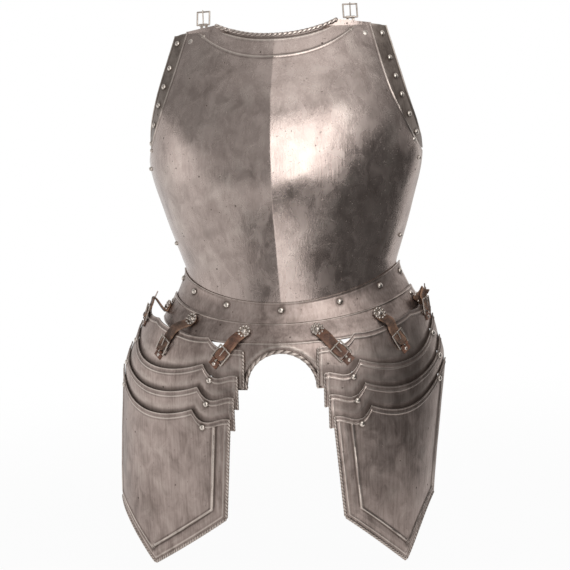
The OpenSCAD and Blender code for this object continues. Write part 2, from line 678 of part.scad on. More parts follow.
// Lower edge of lame k: hidden under the next one, or the main plate's two slanted edges
function lower_edge(k, s) = k < 3
    ? lame_edge(k + 1, s) - lame_lap
    : let(z0 = low_corner_z, a = lame_angle(3, s, z0), x = thigh_half(z0) * sin(a),
        out_x = thigh_half(z0) * sin(tasset_angle))
    x < tip_x ? mix(low_corner_z, tip_z, (x - corner_x) / (tip_x - corner_x))
    : mix(tip_z, low_corner_z + 6, ((x - tip_x) / (out_x - tip_x))^1.15);

lame_slots = [0.16, 0.9];
// Direction in which lame k + 1 slides up over the one above it, along its leaning side
slide_tilts = [0, -0.22, -0.15, 0];
slide_leans = [0, 0.1, 0.11, 0.07];
function slide_dir(k, side) = unit([slide_tilts[k] + side * slide_leans[k], 0, 1]);
function lame_rivet_p(k, s) =
    let(z = lame_edge(k, s) - 7.5)
    [lame_angle(k, s, z), z];

module tasset_lame(k, side) {
    cusp_s = 0.28;
    us = k < 3
        ? [0, 0.06, 0.12, 0.18, 0.23, cusp_s, 0.34, 0.42, 0.5, 0.58, 0.66, 0.74, 0.82, 0.89, 0.95, 1]
        : [0, 0.05, 0.11, 0.17, 0.22, cusp_s, 0.33, 0.4, 0.47, 0.54, 0.61, 0.68, 0.75, 0.82, 0.89, 0.95, 1];
    vs = k < 3 ? [0, 0.15, 0.3, 0.45, 0.6, 0.8, 0.9, 1] : [0, 0.03, 0.1, 0.2, 0.32, 0.45, 0.6, 0.75, 0.88, 0.95, 0.98, 1];
    place = function(u, v)
        let(top = lame_edge(k, u), z = mix(lower_edge(k, u), top, v))
        [lame_angle(k, u, z), z];
    bead = k < 3
        ? function(u, v) v > 0.85 && v < 0.95 ? 1 : 0
        : function(u, v) (v > 0.97 && v < 0.99) || v < 0.02 || u < 0.03 ? 1 : 0;
    color(STEEL) hanging(side) difference() {
        plate(thigh_of(side), us, vs, place,
            function(u, v) lame_low(k),
            function(u, v) lame_low(k) + lame_t + bead(u, v));
        if (k < 3) for (s = lame_slots) lame_slot(k + 1, s, side);
    }
}
// Slot in the lame above, in which the sliding rivet of lame k runs
module lame_slot(k, s, side) {
    at = lame_rivet_p(k, s);
    f = thigh_of(side);
    n = normal_of(f, at[0], at[1]);
    p = f(at[0], at[1]);
    hull() for (t = [-slot_end, lame_travel + slot_end])
        stand(p + slide_dir(k, side) * t, n) cylinder(d = shank_d + slot_play, h = 20, center = true, $fn = 24);
}
module lame_rivets(k, side) {
    color(DARK_STEEL) hanging(side) for (s = lame_slots) {
        at = lame_rivet_p(k, s);
        f = thigh_of(side);
        stand(raised(f, at[0], at[1], lame_low(k) + lame_t), normal_of(f, at[0], at[1]))
            rivet(2 * lame_t + gap + slide_play);
    }
}

// Shoulder buckles stand above the shoulder line on chapes riveted inside the plate
shoulder_x = 97;
shoulder_bar = 4;
lean = 8;
module at_shoulder(side, back = lean) {
    at = [shoulder_x, top_z(shoulder_x)];
    n = body_n(at);
    on_side(side) translate(on_body(at) + n * breast_t / 2 + [0, 0, shoulder_bar])
        rotate([0, 0, atan2(n.y, n.x) + 90]) rotate([-back, 0, 0]) children();
}
module shoulder_frame(side) {
    color(DARK_STEEL) at_shoulder(side) rotate([-90, 0, 0])
        wire_frame(shoulder_frame_l, shoulder_frame_w + wire);
}
module shoulder_tongue(side) {
    color(DARK_STEEL) at_shoulder(side) rotate([-90, 0, 0]) tongue(shoulder_frame_l, -wire / 2 - 1);
}
// Chape: two loops on leaves that go down behind the edge to a plate riveted inside
leaf_t = 1.1;
leaf_l = 16;
leaf_drop = 12;
leaf_gap = 0.5;
module shoulder_chapes() {
    loop = wire + 1.3;
    w = 11;
    back = breast_t / 2 + 4 * lift;
    color(DARK_STEEL) for (side = [-1, 1]) at_shoulder(side, 0) difference() {
        for (end = [-1, 1]) {
            translate([end * (w / 4 + 0.9), 0, 0]) rotate([0, 90, 0])
                cylinder(d = loop, h = w / 2 - 1.8, center = true);
            translate([end * (w / 4 + 0.9) - (w / 4 - 0.9), back, -shoulder_bar - 6])
                cube([w / 2 - 1.8, leaf_t, shoulder_bar + 6]);
        }
        rotate([0, 90, 0]) cylinder(d = wire + 0.2, h = w + 2, center = true);
    }
    color(DARK_STEEL) for (side = [-1, 1]) on_side(side)
        on_breast([shoulder_x, top_z(shoulder_x) - leaf_drop], -leaf_gap - leaf_t)
            translate([-leaf_l / 2, -w / 2, 0]) cube([leaf_l, w, leaf_t]);
}
module shoulder_chape_rivets() {
    color(DARK_STEEL) for (side = [-1, 1]) on_side(side)
        on_breast([shoulder_x, top_z(shoulder_x) - leaf_drop], breast_t)
            rivet(breast_t + leaf_gap + leaf_t + seat, 6, 0.9);
}

breastplate();
gusset(1);  // gusset_left
gusset(-1);  // gusset_right
waist_lame();
skirt_lame();
tasset_lame(0, 1);  // tasset_left_lame_1
tasset_lame(1, 1);  // tasset_left_lame_2
tasset_lame(2, 1);  // tasset_left_lame_3
tasset_lame(3, 1);  // tasset_left_plate
tasset_lame(0, -1);  // tasset_right_lame_1
tasset_lame(1, -1);  // tasset_right_lame_2
tasset_lame(2, -1);  // tasset_right_lame_3
tasset_lame(3, -1);  // tasset_right_plate
gusset_rivets(1);  // gusset_rivets_left
gusset_rivets(-1);  // gusset_rivets_right
gusset_pivot_rivets();
gusset_slide_rivets();
waist_rivets();
skirt_pivot_rivets();
flank_studs();
rosettes();
lame_rivets(1, 1);  // left_lame_2_rivets
lame_rivets(2, 1);  // left_lame_3_rivets
lame_rivets(3, 1);  // left_plate_rivets
lame_rivets(1, -1);  // right_lame_2_rivets
lame_rivets(2, -1);  // right_lame_3_rivets
lame_rivets(3, -1);  // right_plate_rivets
strap(0, 1);  // left_front_strap
strap(1, 1);  // left_middle_strap
strap(2, 1);  // left_outer_strap
strap(0, -1);  // right_front_strap
strap(1, -1);  // right_middle_strap
strap(2, -1);  // right_outer_strap
buckle_frames(1);  // left_buckle_frames
buckle_tongues(1);  // left_buckle_tongues
buckle_chapes(1);  // left_buckle_chapes
chape_rivets(1);  // left_chape_rivets
buckle_frames(-1);  // right_buckle_frames
buckle_tongues(-1);  // right_buckle_tongues
buckle_chapes(-1);  // right_buckle_chapes
chape_rivets(-1);  // right_chape_rivets
shoulder_frame(1);  // shoulder_frame_left
shoulder_tongue(1);  // shoulder_tongue_left
shoulder_frame(-1);  // shoulder_frame_right
shoulder_tongue(-1);  // shoulder_tongue_right
shoulder_chapes();
shoulder_chape_rivets();
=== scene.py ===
"""Looks of the cuirass with tassets: forged plates with beads, roped edges and wear, leather straps,
rosettes and a plain studio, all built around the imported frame. Lengths are in millimetres until a
mesh is made."""
import math

import bpy
import numpy as np
from mathutils import Matrix, Vector


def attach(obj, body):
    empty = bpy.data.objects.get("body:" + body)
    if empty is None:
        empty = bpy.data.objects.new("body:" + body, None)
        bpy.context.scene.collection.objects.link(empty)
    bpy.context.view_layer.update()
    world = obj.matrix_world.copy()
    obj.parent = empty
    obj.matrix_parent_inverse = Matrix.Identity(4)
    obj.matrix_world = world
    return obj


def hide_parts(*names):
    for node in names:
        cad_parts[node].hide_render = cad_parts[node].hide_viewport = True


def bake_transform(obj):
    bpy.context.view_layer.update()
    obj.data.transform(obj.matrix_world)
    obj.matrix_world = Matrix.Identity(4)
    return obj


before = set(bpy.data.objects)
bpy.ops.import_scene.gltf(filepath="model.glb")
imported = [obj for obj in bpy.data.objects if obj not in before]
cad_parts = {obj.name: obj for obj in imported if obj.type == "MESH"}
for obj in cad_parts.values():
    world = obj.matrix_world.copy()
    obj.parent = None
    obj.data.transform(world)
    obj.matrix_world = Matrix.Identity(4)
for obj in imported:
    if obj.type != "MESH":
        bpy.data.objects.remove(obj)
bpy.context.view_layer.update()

MM = 0.001

# Breastplate; its collar is drawn 4 deeper here than in the CAD
WAIST_HALF, FLANK_HALF, CHEST_HALF, UPPER_HALF, SHOULDER_HALF = 143, 168, 185, 181, 153
WAIST_DEPTH, BELLY_DEPTH, CHEST_DEPTH, COLLAR_DEPTH, SHOULDER_DEPTH = 125, 163, 144, 95, 66
FLANK_Z, BELLY_Z, ARMHOLE_Z, CHEST_Z, ARMHOLE_MID_Z, UPPER_Z, COLLAR_Z = 75, 125, 148, 200, 230, 232, 270
RIDGE_HEIGHT, RIDGE_FADE, SQUARENESS = 10, 45, 0.95
WAIST_DIP, NECK_Z, NECK_SIDE_Z, SHOULDER_Z, NECK_HALF = 43, 301, 318, 309, 80
BREAST_T, COLLAR_W, FLANGE, SIDE_ANGLE = 1.6, 30, 14, 78
RIDGE_KNOTS = [(-WAIST_DIP, 0.3), (0, 0.8), (100, 1), (240, 0.8), (NECK_Z, 0.2)]
# Gussets
MAIN_CORNER, MAIN_MID, GUSSET_MID, GUSSET_CORNER = 122, 146, 166, 142
GUSSET_LAP, GUSSET_T, GUSSET_GAP, GUSSET_TRAVEL = 15, 1.3, 1.1, 5
# Its pivot below the shoulder and its slide above the armhole's foot, and how far both lie inside the edge
PIVOT_DOWN, PIVOT_IN, SLIDE_UP, SLIDE_IN = 11, 10.2, 10, 2
# Waist and skirt lames, with their thickness, seats and clearances
BAND_FRONT, BAND_SIDE, WAIST_FLARE, SKIRT_FLARE, SKIRT_FRONT_FLARE = 26, 7, 12, 30, 24
LAME_T, GAP, SEAT, LIFT = 1.3, 0.6, 0.1, 0.15
SKIRT_ANGLE, TAB_HALF, TAB_L, ARCH_R, ARCH_ROLL = 83, 55, 55, 43, 5
WAIST_LOW = BREAST_T + SEAT
WAIST_HIGH = WAIST_LOW + LAME_T
SKIRT_LOW = WAIST_HIGH + GAP
SKIRT_HIGH = SKIRT_LOW + LAME_T
SKIRT_HALF, SKIRT_DEPTH = WAIST_HALF + SKIRT_FLARE, WAIST_DEPTH + SKIRT_FRONT_FLARE
FRONT_LOW = -WAIST_DIP - 2 * BAND_FRONT
TAB_Z = FRONT_LOW - TAB_L
# Tassets
TASSET_ANGLE, LAME_PITCH, LAME_LAP, LAME_TRAVEL = 80, 29, 16, 4
TIP_Z, TIP_X, LOW_CORNER_Z, SWAY, TASSET_LEAN = -384, 162, -315, 0.5, 32
# The left tasset hangs from this point, the right one from its mirror; both sway to the wearer's right
HANG = np.array([110.0, 0.0, -75.0])
SHANK_D, SLOT_PLAY, SLOT_END = 4, 0.9, 0.3
# The top lame's upper edge stands higher here than in the CAD, to close the gap below the skirt
TOP_RISE = 4.5
# Dip of each upper edge inward of its cusp, for the top lame and the others, and outward of it
TOP_DIP, INNER_DIP, OUTER_DIP = 7, 12, 26
# Inner ends of the lames beside the tab's edge, and how far outward the plate's lower inner corner lies
INNER_ENDS, LOW_INNER_OUT = [-7, 1, 6, 11], 9.5
# Sideways shares of each lame's slide: outward on each side, and toward the wearer's left on both
SLIDE_TILTS, SLIDE_LEANS = [0, -0.22, -0.15, 0], [0, 0.1, 0.11, 0.07]
# Rims round the main plate's raised panel
INNER_RIM, LOW_INNER_RIM, LOW_OUTER_RIM, OUTER_RIM = 21, 20, 11.5, 11
# Places of the rivets: angles and level on the waist lame, shares along the gusset and along a lame's edge
WAIST_RIVET_ANGLES, WAIST_RIVET_LEVEL = (-79, -56, -30, 0, 30, 56, 79), -0.36
GUSSET_RIVETS, GUSSET_RIVET_ACROSS = (0.12, 0.27, 0.43, 0.58, 0.73, 0.93), 0.55
LAME_RIVETS, RIVET_DROP = (0.16, 0.9), 7.5
# Radius and height of the rivet heads
WAIST_HEAD, GUSSET_HEAD, LAME_HEAD = (4.2, 3.2), (3.8, 3.1), (4.0, 3.1)
# Straps, buckles and rosettes
STRAP_W, STRAP_T, FRAME_L, ROSETTE_D = 14.5, 2, 20, 18.5
STRAP_SEAT = SKIRT_HIGH + 3 * LIFT + STRAP_T / 2
# Each strap's rosette as (angle, level), its buckle as (angle, drop below the skirt's edge), and its lean
SITES = [((16.2, -1.5), (21.5, 12.2), 43), ((47.2, -1.4), (48.4, 12), 32), ((78, -1.55), (73, -12.5), 8)]
# How far each strap arches outward and upward
LOFTS = [(4, 0), (7, 0), (7, 8)]
STRAP_NAMES = ["front", "middle", "outer"]
SIDES = {"left": 1, "right": -1}


def sind(a):
    return np.sin(np.radians(a))


def cosd(a):
    return np.cos(np.radians(a))


def asind(x):
    return np.degrees(np.arcsin(x))


def mix(a, b, t):
    return a + (b - a) * t


def unit(v):
    v = np.asarray(v, float)
    return v / np.linalg.norm(v, axis=-1, keepdims=True)


def smooth(knots, x):
    """Smooth curve through (place, value) knots."""
    xs, ys = np.array(knots, float).T
    d = np.diff(ys) / np.diff(xs)
    inner = np.where(d[:-1] * d[1:] <= 0, 0, (d[:-1] + d[1:]) / 2)
    m = np.concatenate([d[:1], inner, d[-1:]])
    x = np.clip(np.asarray(x, float), xs[0], xs[-1])
    i = np.clip(np.searchsorted(xs, x, side="right") - 1, 0, len(xs) - 2)
    h = xs[i + 1] - xs[i]
    t = (x - xs[i]) / h
    return ((2 * t**3 - 3 * t**2 + 1) * ys[i] + (t**3 - 2 * t**2 + t) * h * m[i]
            + (3 * t**2 - 2 * t**3) * ys[i + 1] + (t**3 - t**2) * h * m[i + 1])


def lengths(line):
    """Length along a line of points, at each point."""
    return np.concatenate([[0], np.cumsum(np.linalg.norm(np.diff(line, axis=0), axis=1))])


def ticks(*spans):
    """Rising places from spans of (start, stop, step)."""
    parts = [np.linspace(a, b, max(2, math.ceil((b - a) / step) + 1)) for a, b, step in spans]
    return np.unique(np.round(np.concatenate(parts), 5))


# Surfaces: each gives the inner face of its plates at an angle from the front and a second value

def body_half(z):
    return smooth([(0, WAIST_HALF), (FLANK_Z, FLANK_HALF), (ARMHOLE_Z, CHEST_HALF),
                   (UPPER_Z, UPPER_HALF), (SHOULDER_Z, SHOULDER_HALF)], z)


def body_depth(z):
    return smooth([(-WAIST_DIP, WAIST_DEPTH), (BELLY_Z, BELLY_DEPTH), (CHEST_Z, CHEST_DEPTH),
                   (COLLAR_Z, COLLAR_DEPTH), (SHOULDER_Z, SHOULDER_DEPTH)], z)


def breast(a, z):
    a, z = np.broadcast_arrays(np.asarray(a, float), np.asarray(z, float))
    x = body_half(z) * sind(a)
    ridge = RIDGE_HEIGHT * smooth(RIDGE_KNOTS, z)
    y = -(body_depth(z) - ridge) * np.maximum(cosd(a), 0.001)**SQUARENESS
    return np.stack([x, y - ridge * np.exp(-np.abs(x) / RIDGE_FADE), z], -1)


def waist_z(a):
    return -WAIST_DIP * np.maximum(cosd(a), 0)**1.4


def band(a):
    return BAND_FRONT + BAND_SIDE * sind(a)**2


def skirt(a, level):
    a, level = np.broadcast_arrays(np.asarray(a, float), np.asarray(level, float))
    p, r = breast(a, waist_z(a)), -level
    out_x = smooth([(-0.2, 0), (0, 0), (1, WAIST_FLARE), (2, SKIRT_FLARE), (5, SKIRT_FLARE + 4)], r)
    out_y = smooth([(-0.2, 0), (0, 0), (1, SKIRT_FRONT_FLARE / 3), (2, SKIRT_FRONT_FLARE),
                    (5, SKIRT_FRONT_FLARE + 4)], r)
    return np.stack([p[..., 0] + out_x * sind(a), p[..., 1] - out_y * cosd(a), p[..., 2] - r * band(a)], -1)


def flanged_breast(a, z):
    """The breastplate's surface, which follows the skirt's flare below the waistline."""
    a, z = np.broadcast_arrays(np.asarray(a, float), np.asarray(z, float))
    w = waist_z(a)
    below = skirt(a, np.minimum((z - w) / band(a), 0))
    return np.where((z >= w)[..., None], breast(a, z), below)


def skirt_edge(x):
    return skirt(asind(np.minimum(x / SKIRT_HALF, 0.99)), -2.0)[..., 2]


SIDE_LOW = float(waist_z(SKIRT_ANGLE) - 2 * band(SKIRT_ANGLE))


def inner_x(k):
    return TAB_HALF + INNER_ENDS[k]


def cusp_x(k):
    return TAB_HALF + 38 + 7 * k


def inner_z(k):
    return FRONT_LOW - 9 - (LAME_PITCH - 2) * k


def cusp_z(k):
    return float(skirt_edge(cusp_x(0))) + 2.4 - LAME_PITCH * k


def outer_z(k):
    return SIDE_LOW + 31 - (6 + LAME_PITCH * k if k > 0 else 0)


THIGH_TOP, THIGH_FULL = SKIRT_HALF + 10.5, SKIRT_HALF + 40
DEPTH_TOP, DEPTH_FULL = SKIRT_DEPTH - 3, SKIRT_DEPTH + 14
THIGH_HALF = [(TIP_Z, SKIRT_HALF + 31), (LOW_CORNER_Z, THIGH_FULL - 5), (outer_z(3) - 48, THIGH_FULL),
              (outer_z(3), THIGH_FULL + 1), (outer_z(2), THIGH_FULL - 7), (outer_z(0), THIGH_TOP),
              (outer_z(0) + 37, THIGH_TOP - 13)]
THIGH_DEPTH = [(TIP_Z, DEPTH_FULL - 5), (inner_z(3), DEPTH_FULL), (FRONT_LOW - 39, DEPTH_FULL - 3),
               (FRONT_LOW + 7, DEPTH_TOP + 6), (FRONT_LOW + 65, DEPTH_TOP - 8)]


def thigh_half(z):
    return smooth(THIGH_HALF, z)


LEAN_SHARES = [(TIP_Z, 1.03), (LOW_CORNER_Z, 1), (outer_z(3), 0.5), (outer_z(1), 0.31),
               (outer_z(0) + 25, 0)]


def thigh_of(side):
    """Surface of one tasset; the outer edges of both lean to the wearer's right."""
    def surface(a, z):
        a, z = np.broadcast_arrays(np.asarray(a, float), np.asarray(z, float))
        t = np.clip((a - 15) / (TASSET_ANGLE - 15), 0, 1)
        lean = side * TASSET_LEAN * smooth(LEAN_SHARES, z) * t * t * (3 - 2 * t)
        return np.stack([thigh_half(z) * sind(a) - lean, -smooth(THIGH_DEPTH, z) * cosd(a), z], -1)
    return surface


def normal(f, a, b, e=0.05):
    return unit(np.cross(f(a + e, b) - f(a - e, b), f(a, b + e) - f(a, b - e)))


def raised(f, a, b, h):
    return f(a, b) + np.asarray(h, float)[..., None] * normal(f, a, b)


def turned(v, side):
    """A direction on the hanging tasset, seen mirrored to the +X side."""
    a = side * SWAY
    v = np.asarray(v, float)
    x, z = v[..., 0] * cosd(a) + v[..., 2] * sind(a), v[..., 2] * cosd(a) - v[..., 0] * sind(a)
    return np.stack([x, v[..., 1], z], -1)


def hung(p, side):
    return HANG + turned(np.asarray(p) - HANG, side)


def mirrored(p, side):
    return np.asarray(p) * [side, 1, 1]


# Edges of the breastplate

def side_x(z):
    return body_half(z) * sind(SIDE_ANGLE)


def edge_x(z):
    low = ARMHOLE_Z - 5
    above = smooth([(low, side_x(low)), (ARMHOLE_MID_Z, MAIN_MID), (SHOULDER_Z, MAIN_CORNER)], z)
    return np.where(np.asarray(z) < low, side_x(z), above)


def gusset_x(z):
    return smooth([(ARMHOLE_Z, CHEST_HALF - 2), (ARMHOLE_Z + 17, CHEST_HALF - 3),
                   (ARMHOLE_MID_Z, GUSSET_MID), (SHOULDER_Z, GUSSET_CORNER)], z)


def top_z(x):
    rise = mix(NECK_Z, NECK_SIDE_Z, (np.maximum(x, 0) / NECK_HALF)**2.2)
    fall = mix(NECK_SIDE_Z, SHOULDER_Z, (x - NECK_HALF) / (GUSSET_CORNER - NECK_HALF))
    return np.where(x < NECK_HALF, rise, fall)


def collar_line(x):
    return mix(NECK_Z - COLLAR_W, NECK_SIDE_Z - 5, (x / (NECK_HALF + COLLAR_W))**2.2)


def angle_at(x, z):
    return asind(np.minimum(x / body_half(z), 0.9999))


# Materials

class Nodes:
    """Short calls for building the nodes of a material or of the world."""

    def __init__(self, owner):
        self.owner = owner
        owner.use_nodes = True
        self.tree = owner.node_tree
        self.shader = self.tree.nodes.get("Principled BSDF")

    def fill(self, socket, value):
        """Links an input or sets its value; None leaves it as it is."""
        if isinstance(value, bpy.types.NodeSocket):
            self.tree.links.new(value, socket)
        elif value is not None:
            socket.default_value = value

    def add(self, kind, *inputs, named=None, **settings):
        """A node with its settings, and with its inputs in order or by name."""
        node = self.tree.nodes.new(kind)
        for key, value in settings.items():
            setattr(node, key, value)
        for key, value in {**dict(enumerate(inputs)), **(named or {})}.items():
            self.fill(node.inputs[key], value)
        return node

    def math(self, operation, a, b=0.0, clamp=False):
        return self.add("ShaderNodeMath", a, b, operation=operation, use_clamp=clamp).outputs[0]

    def place(self, scale):
        where = self.add("ShaderNodeTexCoord").outputs["Object"]
        return self.add("ShaderNodeMapping", where, None, None, scale).outputs[0]

    def noise(self, scale, detail=3.0, rough=0.5, warp=0.0):
        named = {"Vector": self.place(scale), "Scale": 1.0, "Detail": detail, "Roughness": rough,
                 "Distortion": warp}
        return self.add("ShaderNodeTexNoise", named=named).outputs["Fac"]

    def cells(self, scale):
        named = {"Vector": self.place((scale, scale, scale)), "Scale": 1.0}
        return self.add("ShaderNodeTexVoronoi", named=named, feature="F1").outputs

    def weighted(self, value, weight, rest, clamp=False):
        """value times weight, plus the rest."""
        settings = {"operation": "MULTIPLY_ADD", "use_clamp": clamp}
        return self.add("ShaderNodeMath", value, weight, rest, **settings).outputs[0]

    def step(self, value, low, high, to_low=0.0, to_high=1.0):
        node = self.add("ShaderNodeMapRange", value, low, high, to_low, to_high)
        node.interpolation_type = "SMOOTHSTEP"
        return node.outputs[0]

    def mixed(self, share, a, b):
        node = self.add("ShaderNodeMix", data_type="RGBA")
        sockets = {socket.identifier: socket for socket in node.inputs}
        for key, value in (("Factor_Float", share), ("A_Color", a), ("B_Color", b)):
            self.fill(sockets[key], (*value, 1.0) if isinstance(value, tuple) else value)
        return next(s for s in node.outputs if s.identifier == "Result_Color")

    def background_seen(self):
        """1 for the rays that see the background: the camera's, and those off gloss and through glass."""
        path = self.add("ShaderNodeLightPath")
        seen = self.math("MAXIMUM", path.outputs["Is Camera Ray"], path.outputs["Is Glossy Ray"])
        return self.math("MAXIMUM", seen, path.outputs["Is Transmission Ray"])

    def surface(self, shader):
        """Makes a shader the material's surface."""
        output = next(n for n in self.tree.nodes if n.type == "OUTPUT_MATERIAL")
        self.tree.links.new(shader.outputs[0], output.inputs["Surface"])

    def attribute(self, name):
        return self.add("ShaderNodeAttribute", attribute_name=name).outputs["Fac"]

    def set(self, key, value):
        self.fill(self.shader.inputs[key], value)

    def bump(self, height, distance, below=None):
        named = {"Strength": 1.0, "Distance": distance, "Height": height, "Normal": below}
        return self.add("ShaderNodeBump", named=named).outputs["Normal"]


def steel(name, dark, light, rough, streak):
    """Old forged steel: brushed streaks, stains, pits and specks; painted shade in hollows, and edges
    painted lighter, partly rubbed wear and partly painted highlight.
    """
    m = Nodes(bpy.data.materials.new(name))
    patches = m.noise((14, 14, 9), 4, 0.55, 0.4)
    stains = m.noise((55, 55, 38), 5, 0.62, 0.8)
    brushed = m.noise((420, 420, 26), 4, 0.6)
    scratches = m.noise((1500, 1500, 90), 2, 0.5)
    grain = m.noise((900, 900, 900), 3, 0.6)
    both = m.weighted(stains, 0.6, m.math("MULTIPLY", patches, 0.4))
    tone = m.weighted(m.math("SUBTRACT", brushed, 0.5), streak, both)
    colour = m.mixed(m.step(tone, 0.2, 0.8), dark, light)
    cells = m.cells(62)
    chosen = m.step(m.add("ShaderNodeSeparateColor", cells["Color"]).outputs[0], 0.6, 0.68)
    pit = m.math("MULTIPLY", m.step(cells["Distance"], 0.05, 0.11, 1.0, 0.0), chosen)
    specks = m.step(m.noise((330, 330, 330), 2, 0.5), 0.68, 0.76)
    spot = m.math("MAXIMUM", pit, m.math("MULTIPLY", specks, 0.55))
    colour = m.mixed(m.math("MULTIPLY", spot, 0.75), colour, (0.052, 0.034, 0.024))
    # Painted shade: hollows, rope notches and rivet feet, with painted shadows round rivets and along the
    # lames' edges, are darkened
    hollow = m.math("MULTIPLY", m.attribute("hollow"), 0.75, clamp=True)
    colour = m.mixed(hollow, colour, (0.05, 0.036, 0.028))
    inside = m.attribute("inside")
    colour = m.mixed(m.math("MULTIPLY", inside, 0.7), colour, (0.09, 0.068, 0.052))
    # Painted highlight, partly rubbed wear: raised edges, rims, rope ridges and rivet tops are lightened
    edge = m.math("MULTIPLY", m.attribute("edge"), m.step(stains, 0.3, 0.55, 0.55, 1.0), clamp=True)
    colour = m.mixed(m.math("MULTIPLY", edge, 0.65), colour, (0.62, 0.55, 0.49))
    m.set("Base Color", colour)
    m.set("Metallic", 1.0)
    varied = m.weighted(m.math("SUBTRACT", stains, 0.5), 0.35, rough)
    dull = m.math("MAXIMUM", spot, m.math("MAXIMUM", hollow, inside))
    worn = m.weighted(dull, 0.3, varied, clamp=True)
    m.set("Roughness", m.math("SUBTRACT", worn, m.math("MULTIPLY", edge, 0.12), clamp=True))
    low = m.bump(patches, 0.0003)
    low = m.bump(brushed, 0.00016, low)
    low = m.bump(scratches, 0.00005, low)
    low = m.bump(m.math("SUBTRACT", m.math("MULTIPLY", grain, 0.25), spot), 0.00025, low)
    m.set("Normal", low)
    return m.owner


def leather(name, dark, light):
    """Old strap leather: creased grain, dark stains and rubbed edges."""
    m = Nodes(bpy.data.materials.new(name))
    stains = m.noise((90, 90, 90), 4, 0.6, 0.6)
    fibre = m.noise((700, 700, 700), 4, 0.6)
    tone = m.weighted(fibre, 0.45, m.math("MULTIPLY", stains, 0.6))
    colour = m.mixed(m.step(tone, 0.34, 0.7), dark, light)
    rubbed = m.math("MULTIPLY", m.attribute("edge"), m.step(stains, 0.35, 0.6), clamp=True)
    colour = m.mixed(m.math("MULTIPLY", rubbed, 0.7), colour, (0.36, 0.2, 0.12))
    m.set("Base Color", colour)
    m.set("Roughness", m.step(tone, 0.3, 0.7, 0.72, 0.5))
    grain = m.cells(1100)
    creases = m.noise((60, 60, 500), 3, 0.6)
    low = m.bump(creases, 0.0006)
    m.set("Normal", m.bump(m.math("SUBTRACT", fibre, grain["Distance"]), 0.00012, low))
    return m.owner


POLISHED = steel("polished_steel", (0.26, 0.207, 0.185), (0.5, 0.415, 0.378), 0.26, 0.22)
WORN = steel("worn_steel", (0.16, 0.121, 0.104), (0.48, 0.39, 0.353), 0.4, 0.35)
GUSSET_STEEL = steel("gusset_steel", (0.13, 0.102, 0.086), (0.34, 0.285, 0.25), 0.42, 0.5)
RIVET_STEEL = steel("rivet_steel", (0.3, 0.26, 0.23), (0.7, 0.63, 0.57), 0.3, 0.2)
WIRE_STEEL = steel("wire_steel", (0.22, 0.185, 0.16), (0.6, 0.53, 0.47), 0.34, 0.3)
RED_LEATHER = leather("red_leather", (0.05, 0.022, 0.012), (0.2, 0.085, 0.047))
BROWN_LEATHER = leather("brown_leather", (0.035, 0.018, 0.01), (0.135, 0.07, 0.042))


# Meshes

def new_object(name, data):
    obj = bpy.data.objects.new(name, data)
    bpy.context.scene.collection.objects.link(obj)
    return obj


def make_object(name, points, faces, material, flip=False, **paint):
    """A mesh object from points in millimetres, with point attributes painted on."""
    mesh = bpy.data.meshes.new(name)
    faces = np.asarray(faces)[:, ::-1] if flip else faces
    mesh.from_pydata((np.asarray(points) * MM).tolist(), [], [list(map(int, f)) for f in faces])
    for key, values in paint.items():
        mesh.attributes.new(key, "FLOAT", "POINT").data.foreach_set("value", np.asarray(values, np.float32))
    mesh.materials.append(material)
    mesh.shade_smooth()
    mesh.set_sharp_from_angle(angle=math.radians(52))
    return new_object(name, mesh)


def dress(obj, body, slot, *nodes):
    """Puts a piece on its body in place of CAD nodes."""
    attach(obj, body)
    if nodes:
        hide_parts(*nodes)


def blurred(h, reach):
    for axis in (0, 1):
        pad = [(reach, reach) if axis == i else (0, 0) for i in (0, 1)]
        wide = np.pad(h, pad, mode="edge")
        h = sum(np.take(wide, range(i, i + h.shape[axis]), axis) for i in range(2 * reach + 1))
        h = h / (2 * reach + 1)
    return h


def shell(name, outer, inner, relief, material, flip=False, painted_shadow=0.0):
    """Closed plate between two grids of points; relief is the outer grid's height, from which raised parts
    are painted lighter, partly rubbed wear and partly painted highlight, and hollows darker as painted
    shade; the last argument adds painted shadow to that shade."""
    rows, cols = outer.shape[:2]
    n = rows * cols
    i = np.arange(n).reshape(rows, cols)
    front = np.stack([i[:-1, :-1], i[:-1, 1:], i[1:, 1:], i[1:, :-1]], -1).reshape(-1, 4)
    loop = np.concatenate([i[0, :-1], i[:-1, -1], i[-1, :0:-1], i[:0:-1, 0]])
    after = np.roll(loop, -1)
    sides = np.stack([after, loop, loop + n, after + n], -1)
    faces = np.concatenate([front, front[:, ::-1] + n, sides])
    local = relief - blurred(relief, 3)
    # Raised parts and the rims are painted lighter, partly rubbed wear and partly painted highlight
    edge = np.clip(local / 0.35, 0, 1)
    edge[0] = edge[-1] = edge[:, 0] = edge[:, -1] = 0.7
    # Hollows are painted darker as painted shade, with the painted shadow given added
    hollow = np.clip(np.clip((-local - 0.04) / 0.4, 0, 1) + painted_shadow, 0, 1)
    none = np.zeros(n)
    points = np.concatenate([outer.reshape(-1, 3), inner.reshape(-1, 3)])
    return make_object(name, points, faces, material, flip,
                       edge=np.concatenate([edge.ravel(), none]),
                       hollow=np.concatenate([hollow.ravel(), none]),
                       inside=np.concatenate([none, none + 1]))


def dents(p, seed, size, depth):
    """Gentle unevenness of hammered plate at points p."""
    rng = np.random.default_rng(seed)
    total = 0
    for _ in range(9):
        way = unit(rng.normal(size=3)) * 2 * math.pi / (size * rng.uniform(0.6, 1.5))
        total = total + np.sin(p @ way + rng.uniform(0, 2 * math.pi))
    return depth * total / 3


def bead(d, centre, width, height):
    """Soft raised line at distance centre from where d is measured."""
    return height * np.exp(-((d - centre) / width)**2)


def roll(d, radius, height):
    """Half-round turned edge of the given radius, beside the edge where d is 0."""
    return height * np.sqrt(np.clip(1 - ((d - radius) / radius)**2, 0, 1))


